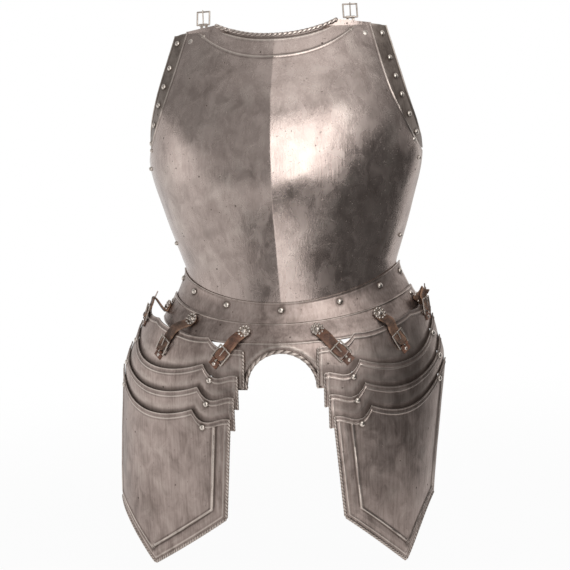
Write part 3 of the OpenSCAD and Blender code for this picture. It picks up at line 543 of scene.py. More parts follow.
def rope(name, path, out, radius, pitch, material, flip=False, depth=0.24):
    """Roped edge: a round roll along path with slanting notches; out is the surface normal there."""
    turns, sides = 2, 16
    length = lengths(path)
    s = np.linspace(0, length[-1], max(8, int(length[-1] / (pitch / 9))))
    line = np.stack([np.interp(s, length, path[:, i]) for i in range(3)], -1)
    n = np.stack([np.interp(s, length, out[:, i]) for i in range(3)], -1)
    along = unit(np.gradient(line, axis=0))
    across = unit(np.cross(n, along))
    n = np.cross(along, across)
    theta = np.linspace(0, 2 * math.pi, sides, endpoint=False)
    phase = 2 * math.pi * s[:, None] / pitch + turns * theta[None, :]
    notch = (0.5 + 0.5 * np.cos(phase))**5
    end = np.minimum(s, length[-1] - s)[:, None]
    taper = np.sqrt(np.clip(end / radius * 1.5 + 0.15, 0, 1))
    r = radius * taper * (1 - depth * notch)
    points = line[:, None] + r[..., None] * (np.cos(theta)[:, None] * across[:, None]
                                            + np.sin(theta)[:, None] * n[:, None])
    rings = len(s)
    i = np.arange(rings * sides).reshape(rings, sides)
    j = np.roll(i, -1, axis=1)
    faces = np.stack([i[:-1], i[1:], j[1:], j[:-1]], -1).reshape(-1, 4).tolist()
    caps = [i[0].tolist(), i[-1, ::-1].tolist()]
    if flip:
        faces = [f[::-1] for f in faces]
        caps = [c[::-1] for c in caps]
    # Ridges between the notches are painted lighter, partly rubbed wear and partly painted highlight; the
    # notches darker, as painted shade
    worn = np.clip(1 - 1.6 * notch, 0, 1) * 0.8
    return make_object(name, points.reshape(-1, 3), faces + caps, material,
                       edge=worn.ravel(), hollow=notch.ravel())


def cut(obj, cutters):
    """Cuts slots, given as closed meshes' objects, out of a plate."""
    for tool in cutters:
        modifier = obj.modifiers.new("slot", "BOOLEAN")
        modifier.object, modifier.operation, modifier.solver = tool, "DIFFERENCE", "EXACT"
    bpy.context.view_layer.update()
    done = bpy.data.meshes.new_from_object(obj.evaluated_get(bpy.context.evaluated_depsgraph_get()))
    obj.modifiers.clear()
    obj.data = done
    for tool in cutters:
        bpy.data.objects.remove(tool)


def slot_tool(p, n, way, travel, length, side):
    """Closed slot cutter standing on p along n; it reaches SLOT_END past both ends of the travel."""
    r = (SHANK_D + SLOT_PLAY) / 2
    x = unit(way - n * (way @ n))
    y = np.cross(n, x)
    half = np.linspace(-90, 90, 13)
    outline = [(travel + SLOT_END) * x + r * (cosd(t) * x + sind(t) * y) for t in half]
    outline += [-SLOT_END * x - r * (cosd(t) * x + sind(t) * y) for t in half]
    count = len(outline)
    points = [p + o - n * length for o in outline] + [p + o + n * length for o in outline]
    faces = [[i, (i + 1) % count, (i + 1) % count + count, i + count] for i in range(count)]
    faces += [list(range(count))[::-1], list(range(count, 2 * count))]
    if side < 0:
        faces = [f[::-1] for f in faces]
    return make_object("slot_tool", mirrored(points, side), faces, WORN)


# Breastplate and gussets

def make_breastplate():
    half = ticks((0, 5, 0.8), (5, 112, 3.4), (112, MAIN_CORNER, 0.75)) / MAIN_CORNER
    u = np.concatenate([-half[:0:-1], half])[None, :]
    x_top = np.abs(u) * MAIN_CORNER
    waist = waist_z(asind(np.abs(u) * sind(SIDE_ANGLE)))
    top = top_z(x_top)
    line = np.minimum(collar_line(x_top), top - 7) + 1
    zones = [(waist - FLANGE, waist, ticks((0, 1, 0.2))), (waist, line - 6, ticks((0, 1, 0.011))),
             (line - 6, np.minimum(line + 6, top - 2), ticks((0, 1, 0.07))),
             (np.minimum(line + 6, top - 2), top, ticks((0, 1, 0.05)))]
    rows = [mix(low, high, t) for low, high, ts in zones for t in ts[:-1]]
    z = np.concatenate(rows + [top])
    x = u * edge_x(z)
    a = asind(x / body_half(z))
    base = flanged_breast(a, z)
    n = normal(flanged_breast, a, z)
    from_edge = (1 - np.abs(u)) * edge_x(z) / np.maximum(0.25, cosd(np.abs(a)))
    from_top = top - z
    at_armhole = smooth([(0, 0), (12, 1), (400, 1)], z)
    at_neck = smooth([(0, 1), (NECK_HALF - 22, 1), (NECK_HALF, 0), (400, 0)], x_top)
    at_collar = smooth([(0, 1), (96, 1), (108, 0), (400, 0)], x_top)
    h = (dents(base, 3, 75, 0.34) + dents(base, 4, 26, 0.05)) * smooth([(-10, 0), (25, 1), (400, 1)], z)
    h = h * smooth([(0, 0), (14, 1), (200, 1)], from_edge)
    h = h + at_collar * bead(z, line, 1.25, 0.95)
    h = h + at_armhole * (roll(from_edge, 1.7, 0.9) - bead(from_edge, 4.6, 1.1, 0.1))
    h = h + at_neck * (bead(from_top, 7.5, 1.2, 0.5) - bead(from_top, 4.6, 1.5, 0.7))
    obj = shell("breastplate_shell", base + (BREAST_T + h)[..., None] * n, base, h, POLISHED)
    dress(obj, "breast", "steel", "breastplate")
    x = np.linspace(-NECK_HALF - 1, NECK_HALF + 1, 160)
    z = top_z(np.abs(x)) - 0.6
    a = asind(x / MAIN_CORNER * edge_x(z) / body_half(z))
    n = normal(breast, a, z)
    path = breast(a, z) + n * BREAST_T / 2
    dress(rope("neck_rope", path, n, 3.0, 6.6, POLISHED), "breast", "steel")


def make_gusset(name, side):
    u = ticks((0, 0.8, 0.08), (0.8, 1, 0.018))[None, :]
    v = ticks((0, 1, 0.012))[:, None]
    z0 = mix(ARMHOLE_Z - 2, SHOULDER_Z, v)
    x = mix(edge_x(z0) - GUSSET_LAP, gusset_x(z0), u)
    z = mix(ARMHOLE_Z - 2, top_z(x) - 1, v)
    a = angle_at(x, z)
    base = breast(a, z)
    n = normal(breast, a, z)
    from_edge = (1 - u) * (gusset_x(z0) - edge_x(z0) + GUSSET_LAP) / np.maximum(0.3, cosd(a))
    shown = smooth([(0.1, 0), (0.25, 1), (1, 1)], np.broadcast_to(v, z.shape))
    h = shown * (roll(from_edge, 1.9, 1.0) - bead(from_edge, 5.4, 1.2, 0.1))
    h = h + dents(base, 6 + side, 30, 0.05)
    outer = mirrored(base + (h - GUSSET_GAP)[..., None] * n, side)
    inner = mirrored(base - (GUSSET_GAP + GUSSET_T) * n, side)
    # Painted shadow round the rivet heads
    painted_shadow = painted_rivet_shadow(base, gusset_rivet_places(side), GUSSET_HEAD)
    obj = shell(f"gusset_plate_{name}", outer, inner, h, GUSSET_STEEL, side < 0, painted_shadow=painted_shadow)
    slide_z, pivot_z = ARMHOLE_Z + SLIDE_UP, SHOULDER_Z - PIVOT_DOWN
    slide = angle_at(edge_x(slide_z) - SLIDE_IN, slide_z)
    pivot = angle_at(edge_x(pivot_z) - PIVOT_IN, pivot_z)
    p, n = breast(slide, slide_z), normal(breast, slide, slide_z)
    q, turn = breast(pivot, pivot_z), normal(breast, pivot, pivot_z)
    cut(obj, [slot_tool(p, n, unit(np.cross(turn, p - q)), GUSSET_TRAVEL, 7, side)])
    dress(obj, f"gusset_{name}_body", "dark_steel", f"gusset_{name}")


# Waist and skirt lames

def make_band(name, levels, low, height, seed, rivets=()):
    a = ticks((-SKIRT_ANGLE, SKIRT_ANGLE, 1.1))[None, :]
    level = levels[:, None]
    a, level = np.broadcast_arrays(a, level)
    base = skirt(a, level)
    n = normal(skirt, a, level)
    ends = (SKIRT_ANGLE - np.abs(a)) * 2.5
    h = height(level * band(a), a) + dents(base, seed, 32, 0.07) + roll(ends, 1.6, 0.5)
    if low < SKIRT_LOW:
        # The waist lame is pressed in where the skirt lame slides over it
        h = h - 0.3 * smooth([(-5, 1), (-0.95, 1), (-0.6, 0), (5, 0)], level)
    outer = base + (low + LAME_T + h)[..., None] * n
    # Painted shadow round the rivet heads
    painted_shadow = painted_rivet_shadow(outer, rivets, WAIST_HEAD) if rivets else 0.0
    return shell(name, outer, base + low * n, h, WORN, painted_shadow=painted_shadow)


def make_waist():
    def height(d, a):
        return bead(d, 0.2, 1.0, 0.5) - bead(d, -2.6, 1.1, 0.18)
    levels = ticks((-1.45, -1, 0.15), (-1, -0.2, 0.05), (-0.2, 0.02, 0.02))
    obj = make_band("waist_band", levels, WAIST_LOW, height, 11, waist_rivet_places())
    dress(obj, "breast", "steel", "waist_lame")


def make_skirt():
    def height(d, a):
        up, down = d + band(a), d + 2 * band(a)
        return bead(up, -2.4, 0.95, 0.7) + bead(down, 1.1, 1.2, 0.95) - bead(down, 3.8, 1.0, 0.1)
    levels = ticks((-2, -1.84, 0.015), (-1.84, -1.22, 0.06), (-1.22, -1, 0.014))
    obj = make_band("skirt_band", levels, SKIRT_LOW, height, 12)
    dress(obj, "skirt", "steel", "skirt_lame")
    make_tab()


def on_tab(x, z, h):
    a = asind(x / SKIRT_HALF)
    level = (z - waist_z(a)) / band(a)
    return raised(skirt, a, level, h)


def make_tab():
    """Crotch tab: a grid of rays from the middle of the arch to the tab's outline."""
    legs = 3
    fillet_drop, fillet_rise, fillet_w = 22, 17, 15
    top = FRONT_LOW + 4.5 - TAB_Z
    corner = np.degrees(np.arctan2(top, TAB_HALF))
    side = ticks((0, 8, 1), (8, corner, 1.6), (corner, 90, 2))
    t = np.concatenate([180 - side, side[-2::-1]])[None, :]
    c, s = np.abs(cosd(t)), sind(t)
    arch = legs * s + np.sqrt(legs**2 * s**2 - legs**2 + ARCH_R**2)
    arch = np.where(arch * s < legs, ARCH_R / np.maximum(c, 1e-6), arch)
    outline = np.minimum(TAB_HALF / np.maximum(c, 1e-6), top / np.maximum(s, 1e-6))
    for _ in range(6):
        fillet = np.clip((outline * s - top + fillet_drop) / fillet_rise, 0, 1)**2 * fillet_w
        outline = np.minimum((TAB_HALF + fillet) / np.maximum(c, 1e-6), top / np.maximum(s, 1e-6))
    w = ticks((0, 0.3, 0.05), (0.3, 1, 0.1))[::-1, None]
    r = mix(arch, outline, w)
    x, z = r * cosd(t), TAB_Z + r * s
    from_arch = r - arch
    h = bead(from_arch, 7.5, 1.5, 0.35) - bead(from_arch, 5.0, 1.2, 0.25) + 0 * x
    outer = on_tab(x, z, SKIRT_HIGH - 0.1 + h)
    inner = on_tab(x, z, np.full(x.shape, SKIRT_LOW + 0.1))
    tab = shell("crotch_tab", outer, inner, h, WORN, flip=True)
    dress(tab, "skirt", "steel")
    t = np.linspace(0, 180, 90)
    reach = ARCH_R + ARCH_ROLL * 0.3
    x = np.concatenate([[reach], reach * cosd(t), [-reach]])
    z = np.concatenate([[TAB_Z + 0.5], TAB_Z + legs + reach * sind(t), [TAB_Z + 0.5]])
    path = on_tab(x, z, np.full(x.shape, (SKIRT_LOW + SKIRT_HIGH) / 2))
    out = np.tile([0.0, -1.0, 0.0], (len(x), 1))
    dress(rope("arch_rope", path, out, 2.9, 9.6, WORN, depth=0.3), "skirt", "steel")


# Tassets

def lame_inner(k, z):
    if k < 3:
        return inner_x(k) + 0 * z
    corner = inner_x(3) + LOW_INNER_OUT
    return mix(inner_x(3), corner, (inner_z(3) - z) / (inner_z(3) - LOW_CORNER_Z))


def lame_angle(k, s, z):
    return mix(asind(lame_inner(k, z) / thigh_half(z)), TASSET_ANGLE, s)


def cusp_share(k):
    start = asind(inner_x(k) / thigh_half(inner_z(k)))
    middle = asind(cusp_x(k) / thigh_half(cusp_z(k)))
    return float((middle - start) / (TASSET_ANGLE - start)), float(start)


def lame_edge(k, s):
    """Height of the upper edge: s runs from the inner to the outer end, with a cusp on the way."""
    cusp, start = cusp_share(k)
    t = np.where(s < cusp, s / cusp, (s - cusp) / (1 - cusp))
    first = mix(inner_z(k), cusp_z(k), t) - (INNER_DIP if k > 0 else TOP_DIP) * 6.75 * t**2 * (1 - t)
    if k > 0:
        second = mix(cusp_z(k), outer_z(k), t) - OUTER_DIP * 4 * t * (1 - t)
    else:
        along = skirt_edge(thigh_half(cusp_z(0)) * sind(mix(start, TASSET_ANGLE, s))) + 1
        second = mix(mix(cusp_z(0), along, np.minimum(1, 4 * t)), outer_z(0), t**9)
    return np.where(s < cusp, first, second) + (TOP_RISE if k == 0 else 0)


def lame_low(k):
    return k * (LAME_T + GAP)


def lower_edge(k, s):
    if k < 3:
        return lame_edge(k + 1, s) - LAME_LAP
    z0 = LOW_CORNER_Z
    corner = inner_x(3) + LOW_INNER_OUT
    x = thigh_half(z0) * sind(lame_angle(3, s, z0))
    out_x = thigh_half(z0) * sind(TASSET_ANGLE)
    first = mix(z0, TIP_Z, (x - corner) / (TIP_X - corner))
    second = mix(TIP_Z, z0 + 6, (np.maximum(x - TIP_X, 0) / (out_x - TIP_X))**1.15)
    return np.where(x < TIP_X, first, second)


def slide_way(k, side):
    return unit([SLIDE_TILTS[k] + side * SLIDE_LEANS[k], 0, 1])


def lame_rivet(k, s):
    z = float(lame_edge(k, np.float64(s))) - RIVET_DROP
    return float(lame_angle(k, s, z)), z


def distance(points, line):
    """Distance of each point of a grid from a line of points."""
    flat = points.reshape(-1, 1, 3)
    starts = range(0, len(flat), 400)
    parts = [np.linalg.norm(flat[i:i + 400] - line[None], axis=2).min(1) for i in starts]
    return np.concatenate(parts).reshape(points.shape[:2])


def lame_grid(k):
    cusp = cusp_share(k)[0]
    tip = None
    if k == 3:
        fine = np.linspace(0, 1, 4001)
        tip = fine[np.argmin(lower_edge(3, fine))]
    s = ticks((0, 0.13, 0.006), (0.13, 0.93, 0.011), (0.93, 1, 0.006))
    for mark in (cusp, tip):
        if mark is not None:
            s[np.argmin(np.abs(s - mark))] = mark
    top, low = lame_edge(k, s)[None, :], lower_edge(k, s)[None, :]
    near = ticks((0, 11, 0.65))
    if k < 3:
        rest = ticks((0, 1, 0.08))[1:]
        z = np.concatenate([top - near[:, None], mix(top - 11, low, rest[:, None])])
    else:
        foot = ticks((0, 36, 1.1))[::-1]
        rest = ticks((0, 1, 0.026))[1:-1]
        middle = mix(top - 11, low + 36, rest[:, None])
        z = np.concatenate([top - near[:, None], middle, low + foot[:, None]])
    z = z[::-1]
    return np.broadcast_to(s[None, :], z.shape), z, top - z


def panel(base, z, from_top, from_in):
    """Relief of the main plate's raised panel with its thin bead, and of the bead along the edges."""
    tip = int(np.argmin(z[0]))
    from_out = distance(base, base[:, -1])
    from_low_in, from_low_out = distance(base, base[0, :tip + 1]), distance(base, base[0, tip:])
    wide = np.minimum(from_in / INNER_RIM, from_low_in / LOW_INNER_RIM)
    share = np.minimum.reduce([wide, from_low_out / LOW_OUTER_RIM, from_out / OUTER_RIM])
    wide_rim, narrow_rim = (INNER_RIM + LOW_INNER_RIM) / 2, 11.2
    width = np.where(wide <= share + 1e-9, wide_rim, narrow_rim)
    inset = (share - 1) * width
    below = smooth([(6.3, 0), (8.5, 1), (500, 1)], from_top)
    fall = smooth([(-9, 0), (-1.6, 1), (0, 0), (900, 0)], inset)
    nearest = np.minimum.reduce([from_in, from_low_in, from_low_out, from_out])
    trim = bead(nearest, 5.0, 0.9, 0.45) - bead(nearest, 3.4, 0.8, 0.2)
    return below * (bead(inset, 0, 1.2, 1.2) - 0.5 * fall) + below * trim


def beside_next(k, s, z):
    """Painted shadow on a lame along the next one's edge, and how far its covered part is pressed in."""
    above = z - lame_edge(k + 1, s)
    cusp = cusp_share(k)[0]
    outside = smooth([(0, 0.35), (cusp - 0.12, 0.35), (cusp, 0.9), (1, 1)], s)
    painted_shadow = outside * np.clip(1 - np.maximum(above, 0) / 6.5, 0, 1)
    return painted_shadow, 0.35 * smooth([(-500, 1), (4, 1), (9, 0), (500, 0)], above)


def lame_ropes(k, title, name, side, base, n, tip):
    """Roped edges of a lame: its inner end, and the pointed foot of the main plate."""
    middle = base + (lame_low(k) + LAME_T / 2) * n
    parts = [("inner_rope", middle[:, 0], n[:, 0], 1.7 if k < 3 else 2.2)]
    if k == 3:
        parts += [("low_rope", middle[0, :tip + 1], n[0, :tip + 1], 2.2),
                  ("outer_rope", middle[0, tip:], n[0, tip:], 1.9)]
    for part, path, out, radius in parts:
        path, out = mirrored(hung(path, side), side), mirrored(turned(out, side), side)
        piece = rope(f"tasset_{name}_{title}_{part}", path, out, radius, 4.6, WORN, side < 0)
        dress(piece, f"tasset_{name}_{k + 1}", "steel")


def make_lame(k, name, side):
    s, z, from_top = lame_grid(k)
    a = lame_angle(k, s, z)
    thigh = thigh_of(side)
    base = thigh(a, z)
    n = normal(thigh, a, z)
    from_in = distance(base, base[:, 0])
    h = bead(from_top, 0.7, 0.9, 0.4) - bead(from_top, 3.0, 1.3, 0.12) + bead(from_top, 6.3, 1.15, 0.7)
    h = h + dents(base, 20 + 2 * k + side, 38, 0.1)
    painted_shadow = np.zeros(h.shape)
    if k < 3:
        # Painted shadow along the next lame's edge
        painted_shadow, pressed = beside_next(k, s, z)
        h = h + bead(from_in, 4.6, 1.0, 0.35) - pressed
    else:
        h = h + panel(base, z, from_top, from_in)
    low = lame_low(k)
    outer = hung(base + (low + LAME_T + h)[..., None] * n, side)
    # Painted shadow round the rivet heads, added to the painted shadow along the next lame's edge
    if k > 0:
        painted_shadow = np.maximum(painted_shadow, painted_rivet_shadow(outer, lame_rivet_places(k, side), LAME_HEAD))
    inner = hung(base + low * n, side)
    title = f"lame_{k + 1}" if k < 3 else "plate"
    obj = shell(f"tasset_{name}_{title}_shell", mirrored(outer, side), mirrored(inner, side), h, WORN,
                side < 0, painted_shadow=painted_shadow)
    if k < 3:
        tools = []
        for share in LAME_RIVETS:
            at = lame_rivet(k + 1, share)
            p, out = hung(thigh(*at), side), turned(normal(thigh, *at), side)
            tools.append(slot_tool(p, out, turned(slide_way(k + 1, side), side), LAME_TRAVEL, 10, side))
        cut(obj, tools)
    dress(obj, f"tasset_{name}_{k + 1}", "steel", f"tasset_{name}_{title}")
    lame_ropes(k, title, name, side, base, n, int(np.argmin(z[0])))


# Straps and rosettes

def buckle_axes(k, side):
    """Place, outward normal and strap direction of buckle k on the top lame."""
    thigh = thigh_of(side)
    angle, drop = SITES[k][1]
    z = float(skirt(angle, -2.0)[2]) - drop
    n = normal(thigh, angle, z)
    out = unit(thigh(angle + 0.05, z) - thigh(angle - 0.05, z))
    down = unit(np.cross(out, n))
    down = down if down[2] < 0 else -down
    lean = SITES[k][2]
    return raised(thigh, angle, z, LAME_T), n, cosd(lean) * down + sind(lean) * out


def strap_path(k, side):
    (angle, level), _, _ = SITES[k]
    a, na = raised(skirt, angle, level, STRAP_SEAT), normal(skirt, angle, level)
    p, n, d = buckle_axes(k, side)
    p, n, d = hung(p, side), turned(n, side), turned(d, side)
    half = FRAME_L / 2
    enter = p - d * (half + 1) + n * (STRAP_T / 2 + 1)
    go = unit(enter - a - na * ((enter - a) @ na))
    loft = (a + enter) / 2 + LOFTS[k][0] * unit(na + n) + np.array([0, 0, LOFTS[k][1]])
    points = [a - go * 6 + na * 0.3, a, a + go * 7 + na * 1.8, loft, enter - d * 4 + n * 0.2, enter,
              p + n * 3.3, p + d * (half - 6) + n * 4.7, p + d * (half - 3.2) + n * 4.9]
    return np.array(points), na, unit(np.cross(d, n))


def curve(p, t):
    """Smooth curve through points p, where t counts the points from 0."""
    i = np.minimum(np.floor(t).astype(int), len(p) - 2)
    f = (t - i)[:, None]
    a, b, c, e = p[np.maximum(i - 1, 0)], p[i], p[i + 1], p[np.minimum(i + 2, len(p) - 1)]
    return 0.5 * (2 * b + (c - a) * f + (2 * a - 5 * b + 4 * c - e) * f**2 + (3 * b - a - 3 * c + e) * f**3)


def make_strap(k, name, side):
    """Strap from its rosette through its buckle, bent between the skirt and the tasset."""
    path, na, across_end = strap_path(k, side)
    last = len(path) - 1
    t = np.linspace(0, last, 66)
    line = curve(path, t)
    d = unit(curve(path, np.minimum(t + 0.1, last)) - curve(path, np.maximum(t - 0.1, 0)))
    across_start = unit(np.cross(path[2] - path[0], na))
    share = np.clip((t - 2) / 2, 0, 1)[:, None]
    w = unit(mix(across_start, across_end, share))
    w = unit(w - d * np.sum(w * d, 1, keepdims=True))
    n = np.cross(w, d)
    length = lengths(line)
    to_end = np.minimum(length + 1.2, (length[-1] - length) * 1.1 + 1.2)
    half = STRAP_W / 2 * np.clip(np.sqrt(np.clip(1 - (1 - to_end / 8)**2, 0, 1)), 0.2, 1)
    half = np.where(to_end < 8, half, STRAP_W / 2)
    half = half * (1 + 0.02 * np.sin(length / 3.1 + k + side))
    thick = STRAP_T / 2
    corner = 0.55
    section = [(-1, -thick + corner), (-1, thick - corner), (-1 + 0.09, thick), (-0.5, thick),
               (0, thick + 0.05), (0.5, thick), (1 - 0.09, thick), (1, thick - corner),
               (1, -thick + corner), (1 - 0.09, -thick), (0, -thick), (-1 + 0.09, -thick)]
    across, up = np.array(section).T
    points = line[:, None] + half[:, None, None] * across[None, :, None] * w[:, None] \
        + up[None, :, None] * n[:, None]
    count = len(section)
    i = np.arange(len(t) * count).reshape(len(t), count)
    j = np.roll(i, -1, axis=1)
    faces = np.stack([i[:-1], j[:-1], j[1:], i[1:]], -1).reshape(-1, 4).tolist()
    faces += [i[0, ::-1].tolist(), i[-1].tolist()]
    if side > 0:
        faces = [f[::-1] for f in faces]
    edge = np.tile(np.clip((np.abs(across) - 0.8) * 5, 0, 1), (len(t), 1)).ravel()
    leather_kind = RED_LEATHER if k == 0 else BROWN_LEATHER
    placed = mirrored(points.reshape(-1, 3), side)
    obj = make_object(f"{name}_{STRAP_NAMES[k]}_leather", placed, faces, leather_kind, edge=edge)
    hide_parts(f"{name}_{STRAP_NAMES[k]}_strap")
    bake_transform(obj)


def lathe(profile, segments):
    """Points and faces of a round form about Z from (radius, height) pairs, closed at both ends."""
    t = np.linspace(0, 2 * math.pi, segments, endpoint=False)
    points = [[r * math.cos(q), r * math.sin(q), z] for r, z in profile for q in t]
    rows = len(profile)
    faces = [[i * segments + j, i * segments + (j + 1) % segments,
              (i + 1) * segments + (j + 1) % segments, (i + 1) * segments + j]
             for i in range(rows - 1) for j in range(segments)]
    faces += [list(range(segments))[::-1], [(rows - 1) * segments + j for j in range(segments)]]
    return np.array(points), faces


def rosette_parts():
    """A scalloped disc with a ring of pearls round a domed boss."""
    count = 10
    r = ROSETTE_D / 2
    rim = [(0.5, 0), (r - 1.6, 0), (r - 1.3, 0.5), (r - 1.9, 1.3), (5, 1.0), (4.9, 0.8)]
    disc, disc_faces = lathe(rim, 60)
    turn = np.arctan2(disc[:, 1], disc[:, 0])
    swell = 1 + 0.05 * np.cos(count * turn) * (np.hypot(disc[:, 0], disc[:, 1]) > 6)
    parts = [(disc * np.stack([swell, swell, np.ones(len(disc))], -1), disc_faces)]
    pearl, faces = lathe([(1.95 * cosd(q), 1.95 * sind(q)) for q in np.linspace(-60, 88, 9)], 16)
    for i in range(count):
        q = 2 * math.pi * i / count
        parts.append((pearl + [(r - 2.1) * math.cos(q), (r - 2.1) * math.sin(q), 1.5], faces))
    neck = [(4.7, 0.9), (4.5, 1.6), (3.9, 1.9), (3.7, 2.2)]
    boss = [(3.7 * cosd(q), 2.2 + 2.2 * sind(q)) for q in (10, 30, 50, 70, 86)]
    parts.append(lathe(neck + boss, 24))
    return parts


def gathered(parts, places):
    """Points and faces of all parts, which stand on Z, at all (seat, normal, side) places."""
    points, faces, total = [], [], 0
    for seat, n, side in places:
        x = unit(np.cross([0, 0, 1], n))
        y = np.cross(n, x)
        for part, part_faces in parts:
            points.append(mirrored(seat + part[:, :1] * x + part[:, 1:2] * y + part[:, 2:] * n, side))
            faces += [[i + total for i in (f if side > 0 else f[::-1])] for f in part_faces]
            total += len(part)
    return np.concatenate(points), faces


def make_domes(name, body, places, head):
    """Round rivet heads at (seat, normal, side) places."""
    radius, height = head
    profile = [(0.3, -0.4), (radius, -0.4), (radius, 0.4)]
    profile += [(radius * cosd(q), 0.4 + (height - 0.4) * sind(q)) for q in (20, 40, 58, 74, 87)]
    dome = lathe(profile, 20)
    points, faces = gathered([dome], places)
    # The tops are painted lighter, partly rubbed wear and partly painted highlight, and the foot darker, as
    # painted shade
    tops = np.tile(np.clip(dome[0][:, 2] / height, 0, 1), len(places))
    foot = np.clip(1 - 3 * tops, 0, 1) * 0.9
    dress(make_object(name, points, faces, RIVET_STEEL, edge=tops, hollow=foot), body, "steel")


def gusset_rivet_places(side):
    places = []
    for t in GUSSET_RIVETS:
        z = mix(ARMHOLE_Z, SHOULDER_Z, t)
        a = float(angle_at(mix(edge_x(z), gusset_x(z), GUSSET_RIVET_ACROSS), z))
        places.append((raised(breast, a, z, -GUSSET_GAP), normal(breast, a, z), side))
    return places


def waist_rivet_places():
    at = [(a, WAIST_RIVET_LEVEL) for a in WAIST_RIVET_ANGLES]
    return [(raised(skirt, a, level, WAIST_HIGH), normal(skirt, a, level), 1) for a, level in at]


def lame_rivet_places(k, side):
    places = []
    thigh = thigh_of(side)
    for share in LAME_RIVETS:
        at = lame_rivet(k, share)
        seat = hung(raised(thigh, *at, lame_low(k) + LAME_T), side)
        places.append((seat, turned(normal(thigh, *at), side), side))
    return places


def painted_rivet_shadow(points, places, head):
    """Painted shadow round rivet heads on a grid of points."""
    d = np.min([np.linalg.norm(points - seat, axis=-1) for seat, n, side in places], axis=0)
    return 0.75 * np.clip(1 - np.maximum(d - head[0] + 0.2, 0) / 3.5, 0, 1)


def make_rosettes():
    places = []
    for side in (1, -1):
        for (angle, level), buckle, lean in SITES:
            seat = raised(skirt, angle, level, STRAP_SEAT + STRAP_T / 2)
            places.append((seat, normal(skirt, angle, level), side))
    obj = make_object("rosette_pearls", *gathered(rosette_parts(), places), RIVET_STEEL)
    dress(obj, "skirt", "steel", "rosettes")


make_breastplate()
make_waist()
make_domes("waist_domes", "breast", waist_rivet_places(), WAIST_HEAD)
make_skirt()
make_rosettes()
for name, side in SIDES.items():
    make_gusset(name, side)
    make_domes(f"gusset_domes_{name}", f"gusset_{name}_body", gusset_rivet_places(side), GUSSET_HEAD)
    for k in range(4):
        make_lame(k, name, side)
        if k > 0:
            body = f"tasset_{name}_{k + 1}"
            make_domes(f"tasset_{name}_domes_{k + 1}", body, lame_rivet_places(k, side), LAME_HEAD)
    for k in range(3):
        make_strap(k, name, side)

# CAD nodes that stay, with better materials
for node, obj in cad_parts.items():
    if "chapes" in node and "buckle" in node:
        kind = RED_LEATHER
    elif "frame" in node or "tongue" in node or "shoulder" in node:
        kind = WIRE_STEEL
    else:
        kind = RIVET_STEEL
    for material_slot in obj.material_slots:
        material_slot.material = kind


# Studio

FLOOR_Z, WORLD_LIGHT = -0.45, 0.5
# Walls and cards that only reflections see: azimuths, elevations, distance in metres and grey
WALLS = {
    "left_wall": ((-125, -54), (-8, 16), 4.0, 0.9),
    "left_upper_wall": ((-125, -50), (16, 60), 4.0, 0.42),
    "front_left_wall": ((-50, -28), (6, 60), 4.0, 0.6),
    "front_dim_wall": ((-54, -28), (-8, 6), 4.0, 0.4),
    "front_wall": ((-28, 2), (-8, 60), 4.0, 0.5),
    "middle_upper_wall": ((38, 60), (18, 60), 4.0, 1.2),
    "middle_wall": ((40, 60), (-8, 18), 4.0, 0.2),
    "right_upper_wall": ((60, 80), (20, 60), 4.0, 0.5),
    "right_wall": ((60, 82), (-8, 20), 4.0, 0.1),
    "far_right_wall": ((82, 112), (-8, 60), 4.0, 0.3),
    "left_card": ((-40, -14), (-34, -12), 0.7, 0.3),
    "front_card": ((-12, 20), (-37, -16), 0.68, 2.0),
    "low_card": ((1, 21), (-16, 1), 0.72, 0.22),
    "middle_card": ((21, 36), (-34, 2), 0.72, 0.25),
    "right_card": ((36, 112), (-40, 16), 0.6, 0.14),
    "ceiling": ((-180, 180), (60, 90), 4.1, 0.7),
}
# Soft boxes: azimuth, elevation, distance, width, height in metres and how bright the face is
LIGHTS = {
    "key_light": (22, 16, 2.8, 1.7, 3.0, 2.3),
    "left_light": (-84, 4, 2.8, 1.3, 1.3, 0.6),
    "top_light": (10, 68, 2.6, 1.2, 0.9, 0.9),
}
# Direction of the camera from the object's middle, its roll in degrees and its distance in metres
CAMERA_AZIMUTH, CAMERA_ELEVATION, CAMERA_ROLL, CAMERA_AWAY = 8.3, 4.7, 2.7, 2.5
CAMERA_LENS, CAMERA_SHIFT = 117.3, (-0.0149, -0.0415)


def direction(a, e):
    """Unit direction from the object at an azimuth from the front and an elevation, in radians."""
    return math.sin(a) * math.cos(e), -math.cos(a) * math.cos(e), math.sin(e)


def pale_floor(near_share):
    """Pale floor; camera, gloss and glass see pure white in it, but near the object only by a share, so
    that its shadow stays."""
    m = Nodes(bpy.data.materials.new("pale_floor"))
    m.set("Base Color", (0.85, 0.85, 0.85, 1))
    m.set("Roughness", 0.9)
    white = m.add("ShaderNodeEmission", (1, 1, 1, 1), 1.0)
    away = m.add("ShaderNodeVectorMath", m.place((1, 1, 1)), operation="LENGTH").outputs["Value"]
    share = m.math("MULTIPLY", m.background_seen(), m.step(away, 0.7, 2.2, near_share, 1.0))
    m.surface(m.add("ShaderNodeMixShader", share, m.shader.outputs[0], white.outputs[0]))
    return m.owner


def stage_mesh(name, points, faces, material):
    mesh = bpy.data.meshes.new(name)
    mesh.from_pydata(points, [], faces)
    mesh.materials.append(material)
    obj = new_object(name, mesh)
    return obj


def area_light(name, azimuth, elevation, distance_m, width, height, radiance):
    """Soft box that faces the object; its power follows from how bright its face is."""
    where = distance_m * Vector(direction(math.radians(azimuth), math.radians(elevation)))
    light = bpy.data.lights.new(name, "AREA")
    light.shape = "RECTANGLE"
    light.size, light.size_y = width, height
    light.energy = radiance * math.pi * width * height
    obj = new_object(name, light)
    obj.location = where
    obj.rotation_euler = where.to_track_quat("Z", "Y").to_euler()


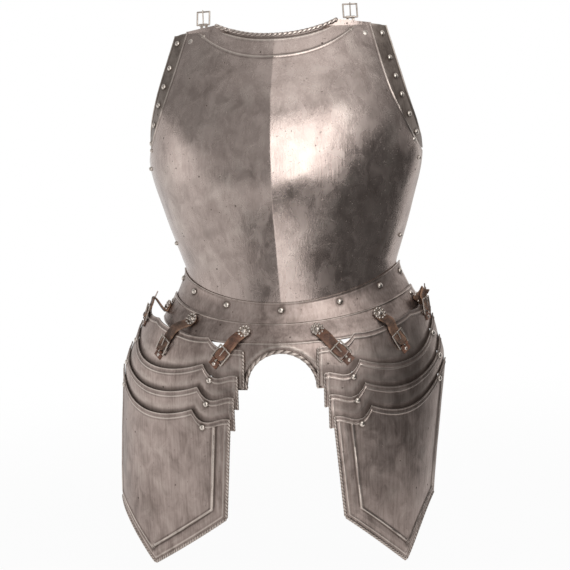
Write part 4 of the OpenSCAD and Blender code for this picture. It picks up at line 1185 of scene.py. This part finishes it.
def make_wall(name, azimuths, elevations, radius, grey):
    """Part of a sphere round the object that only reflections see."""
    across, up = 17, 7
    a, e = np.radians(np.linspace(*azimuths, across)), np.radians(np.linspace(*elevations, up))
    points = [[radius * v for v in direction(p, q)] for q in e for p in a]
    corners = [i * across + j for i in range(up - 1) for j in range(across - 1)]
    faces = [[b, b + 1, b + across + 1, b + across] for b in corners]
    m = Nodes(bpy.data.materials.new(name))
    m.surface(m.add("ShaderNodeEmission", (grey, grey, grey, 1), 1.0))
    wall = stage_mesh(name, points, faces, m.owner)
    wall.visible_camera = wall.visible_diffuse = wall.visible_shadow = False


def make_studio():
    floor = [(x, y, FLOOR_Z) for x, y in ((-30, -30), (30, -30), (30, 30), (-30, 30))]
    stage_mesh("floor", floor, [(0, 1, 2, 3)], pale_floor(0.94))
    world = bpy.data.worlds.new("studio")
    bpy.context.scene.world = world
    m = Nodes(world)
    back = m.tree.nodes["Background"]
    back.inputs["Color"].default_value = (1, 1, 1, 1)
    strength = m.add("ShaderNodeMapRange", m.background_seen(), 0.0, 1.0, WORLD_LIGHT, 1.0)
    m.tree.links.new(strength.outputs[0], back.inputs["Strength"])
    for name, wall in WALLS.items():
        make_wall(name, *wall)
    for name, light in LIGHTS.items():
        area_light(name, *light)


def make_camera():
    a, e, r = map(math.radians, (CAMERA_AZIMUTH, CAMERA_ELEVATION, CAMERA_ROLL))
    back = Vector(direction(a, e))
    right = Vector((math.cos(a), math.sin(a), 0))
    up = back.cross(right)
    right, up = right * math.cos(r) - up * math.sin(r), up * math.cos(r) + right * math.sin(r)
    camera = bpy.data.cameras.new("camera")
    camera.sensor_width, camera.lens = 36, CAMERA_LENS
    camera.shift_x, camera.shift_y = CAMERA_SHIFT
    obj = new_object("camera", camera)
    turn = Matrix((right, up, back)).transposed().to_4x4()
    obj.matrix_world = Matrix.Translation(back * CAMERA_AWAY) @ turn
    bpy.context.scene.camera = obj


make_studio()
make_camera()
bpy.context.scene.view_settings.view_transform = "Standard"
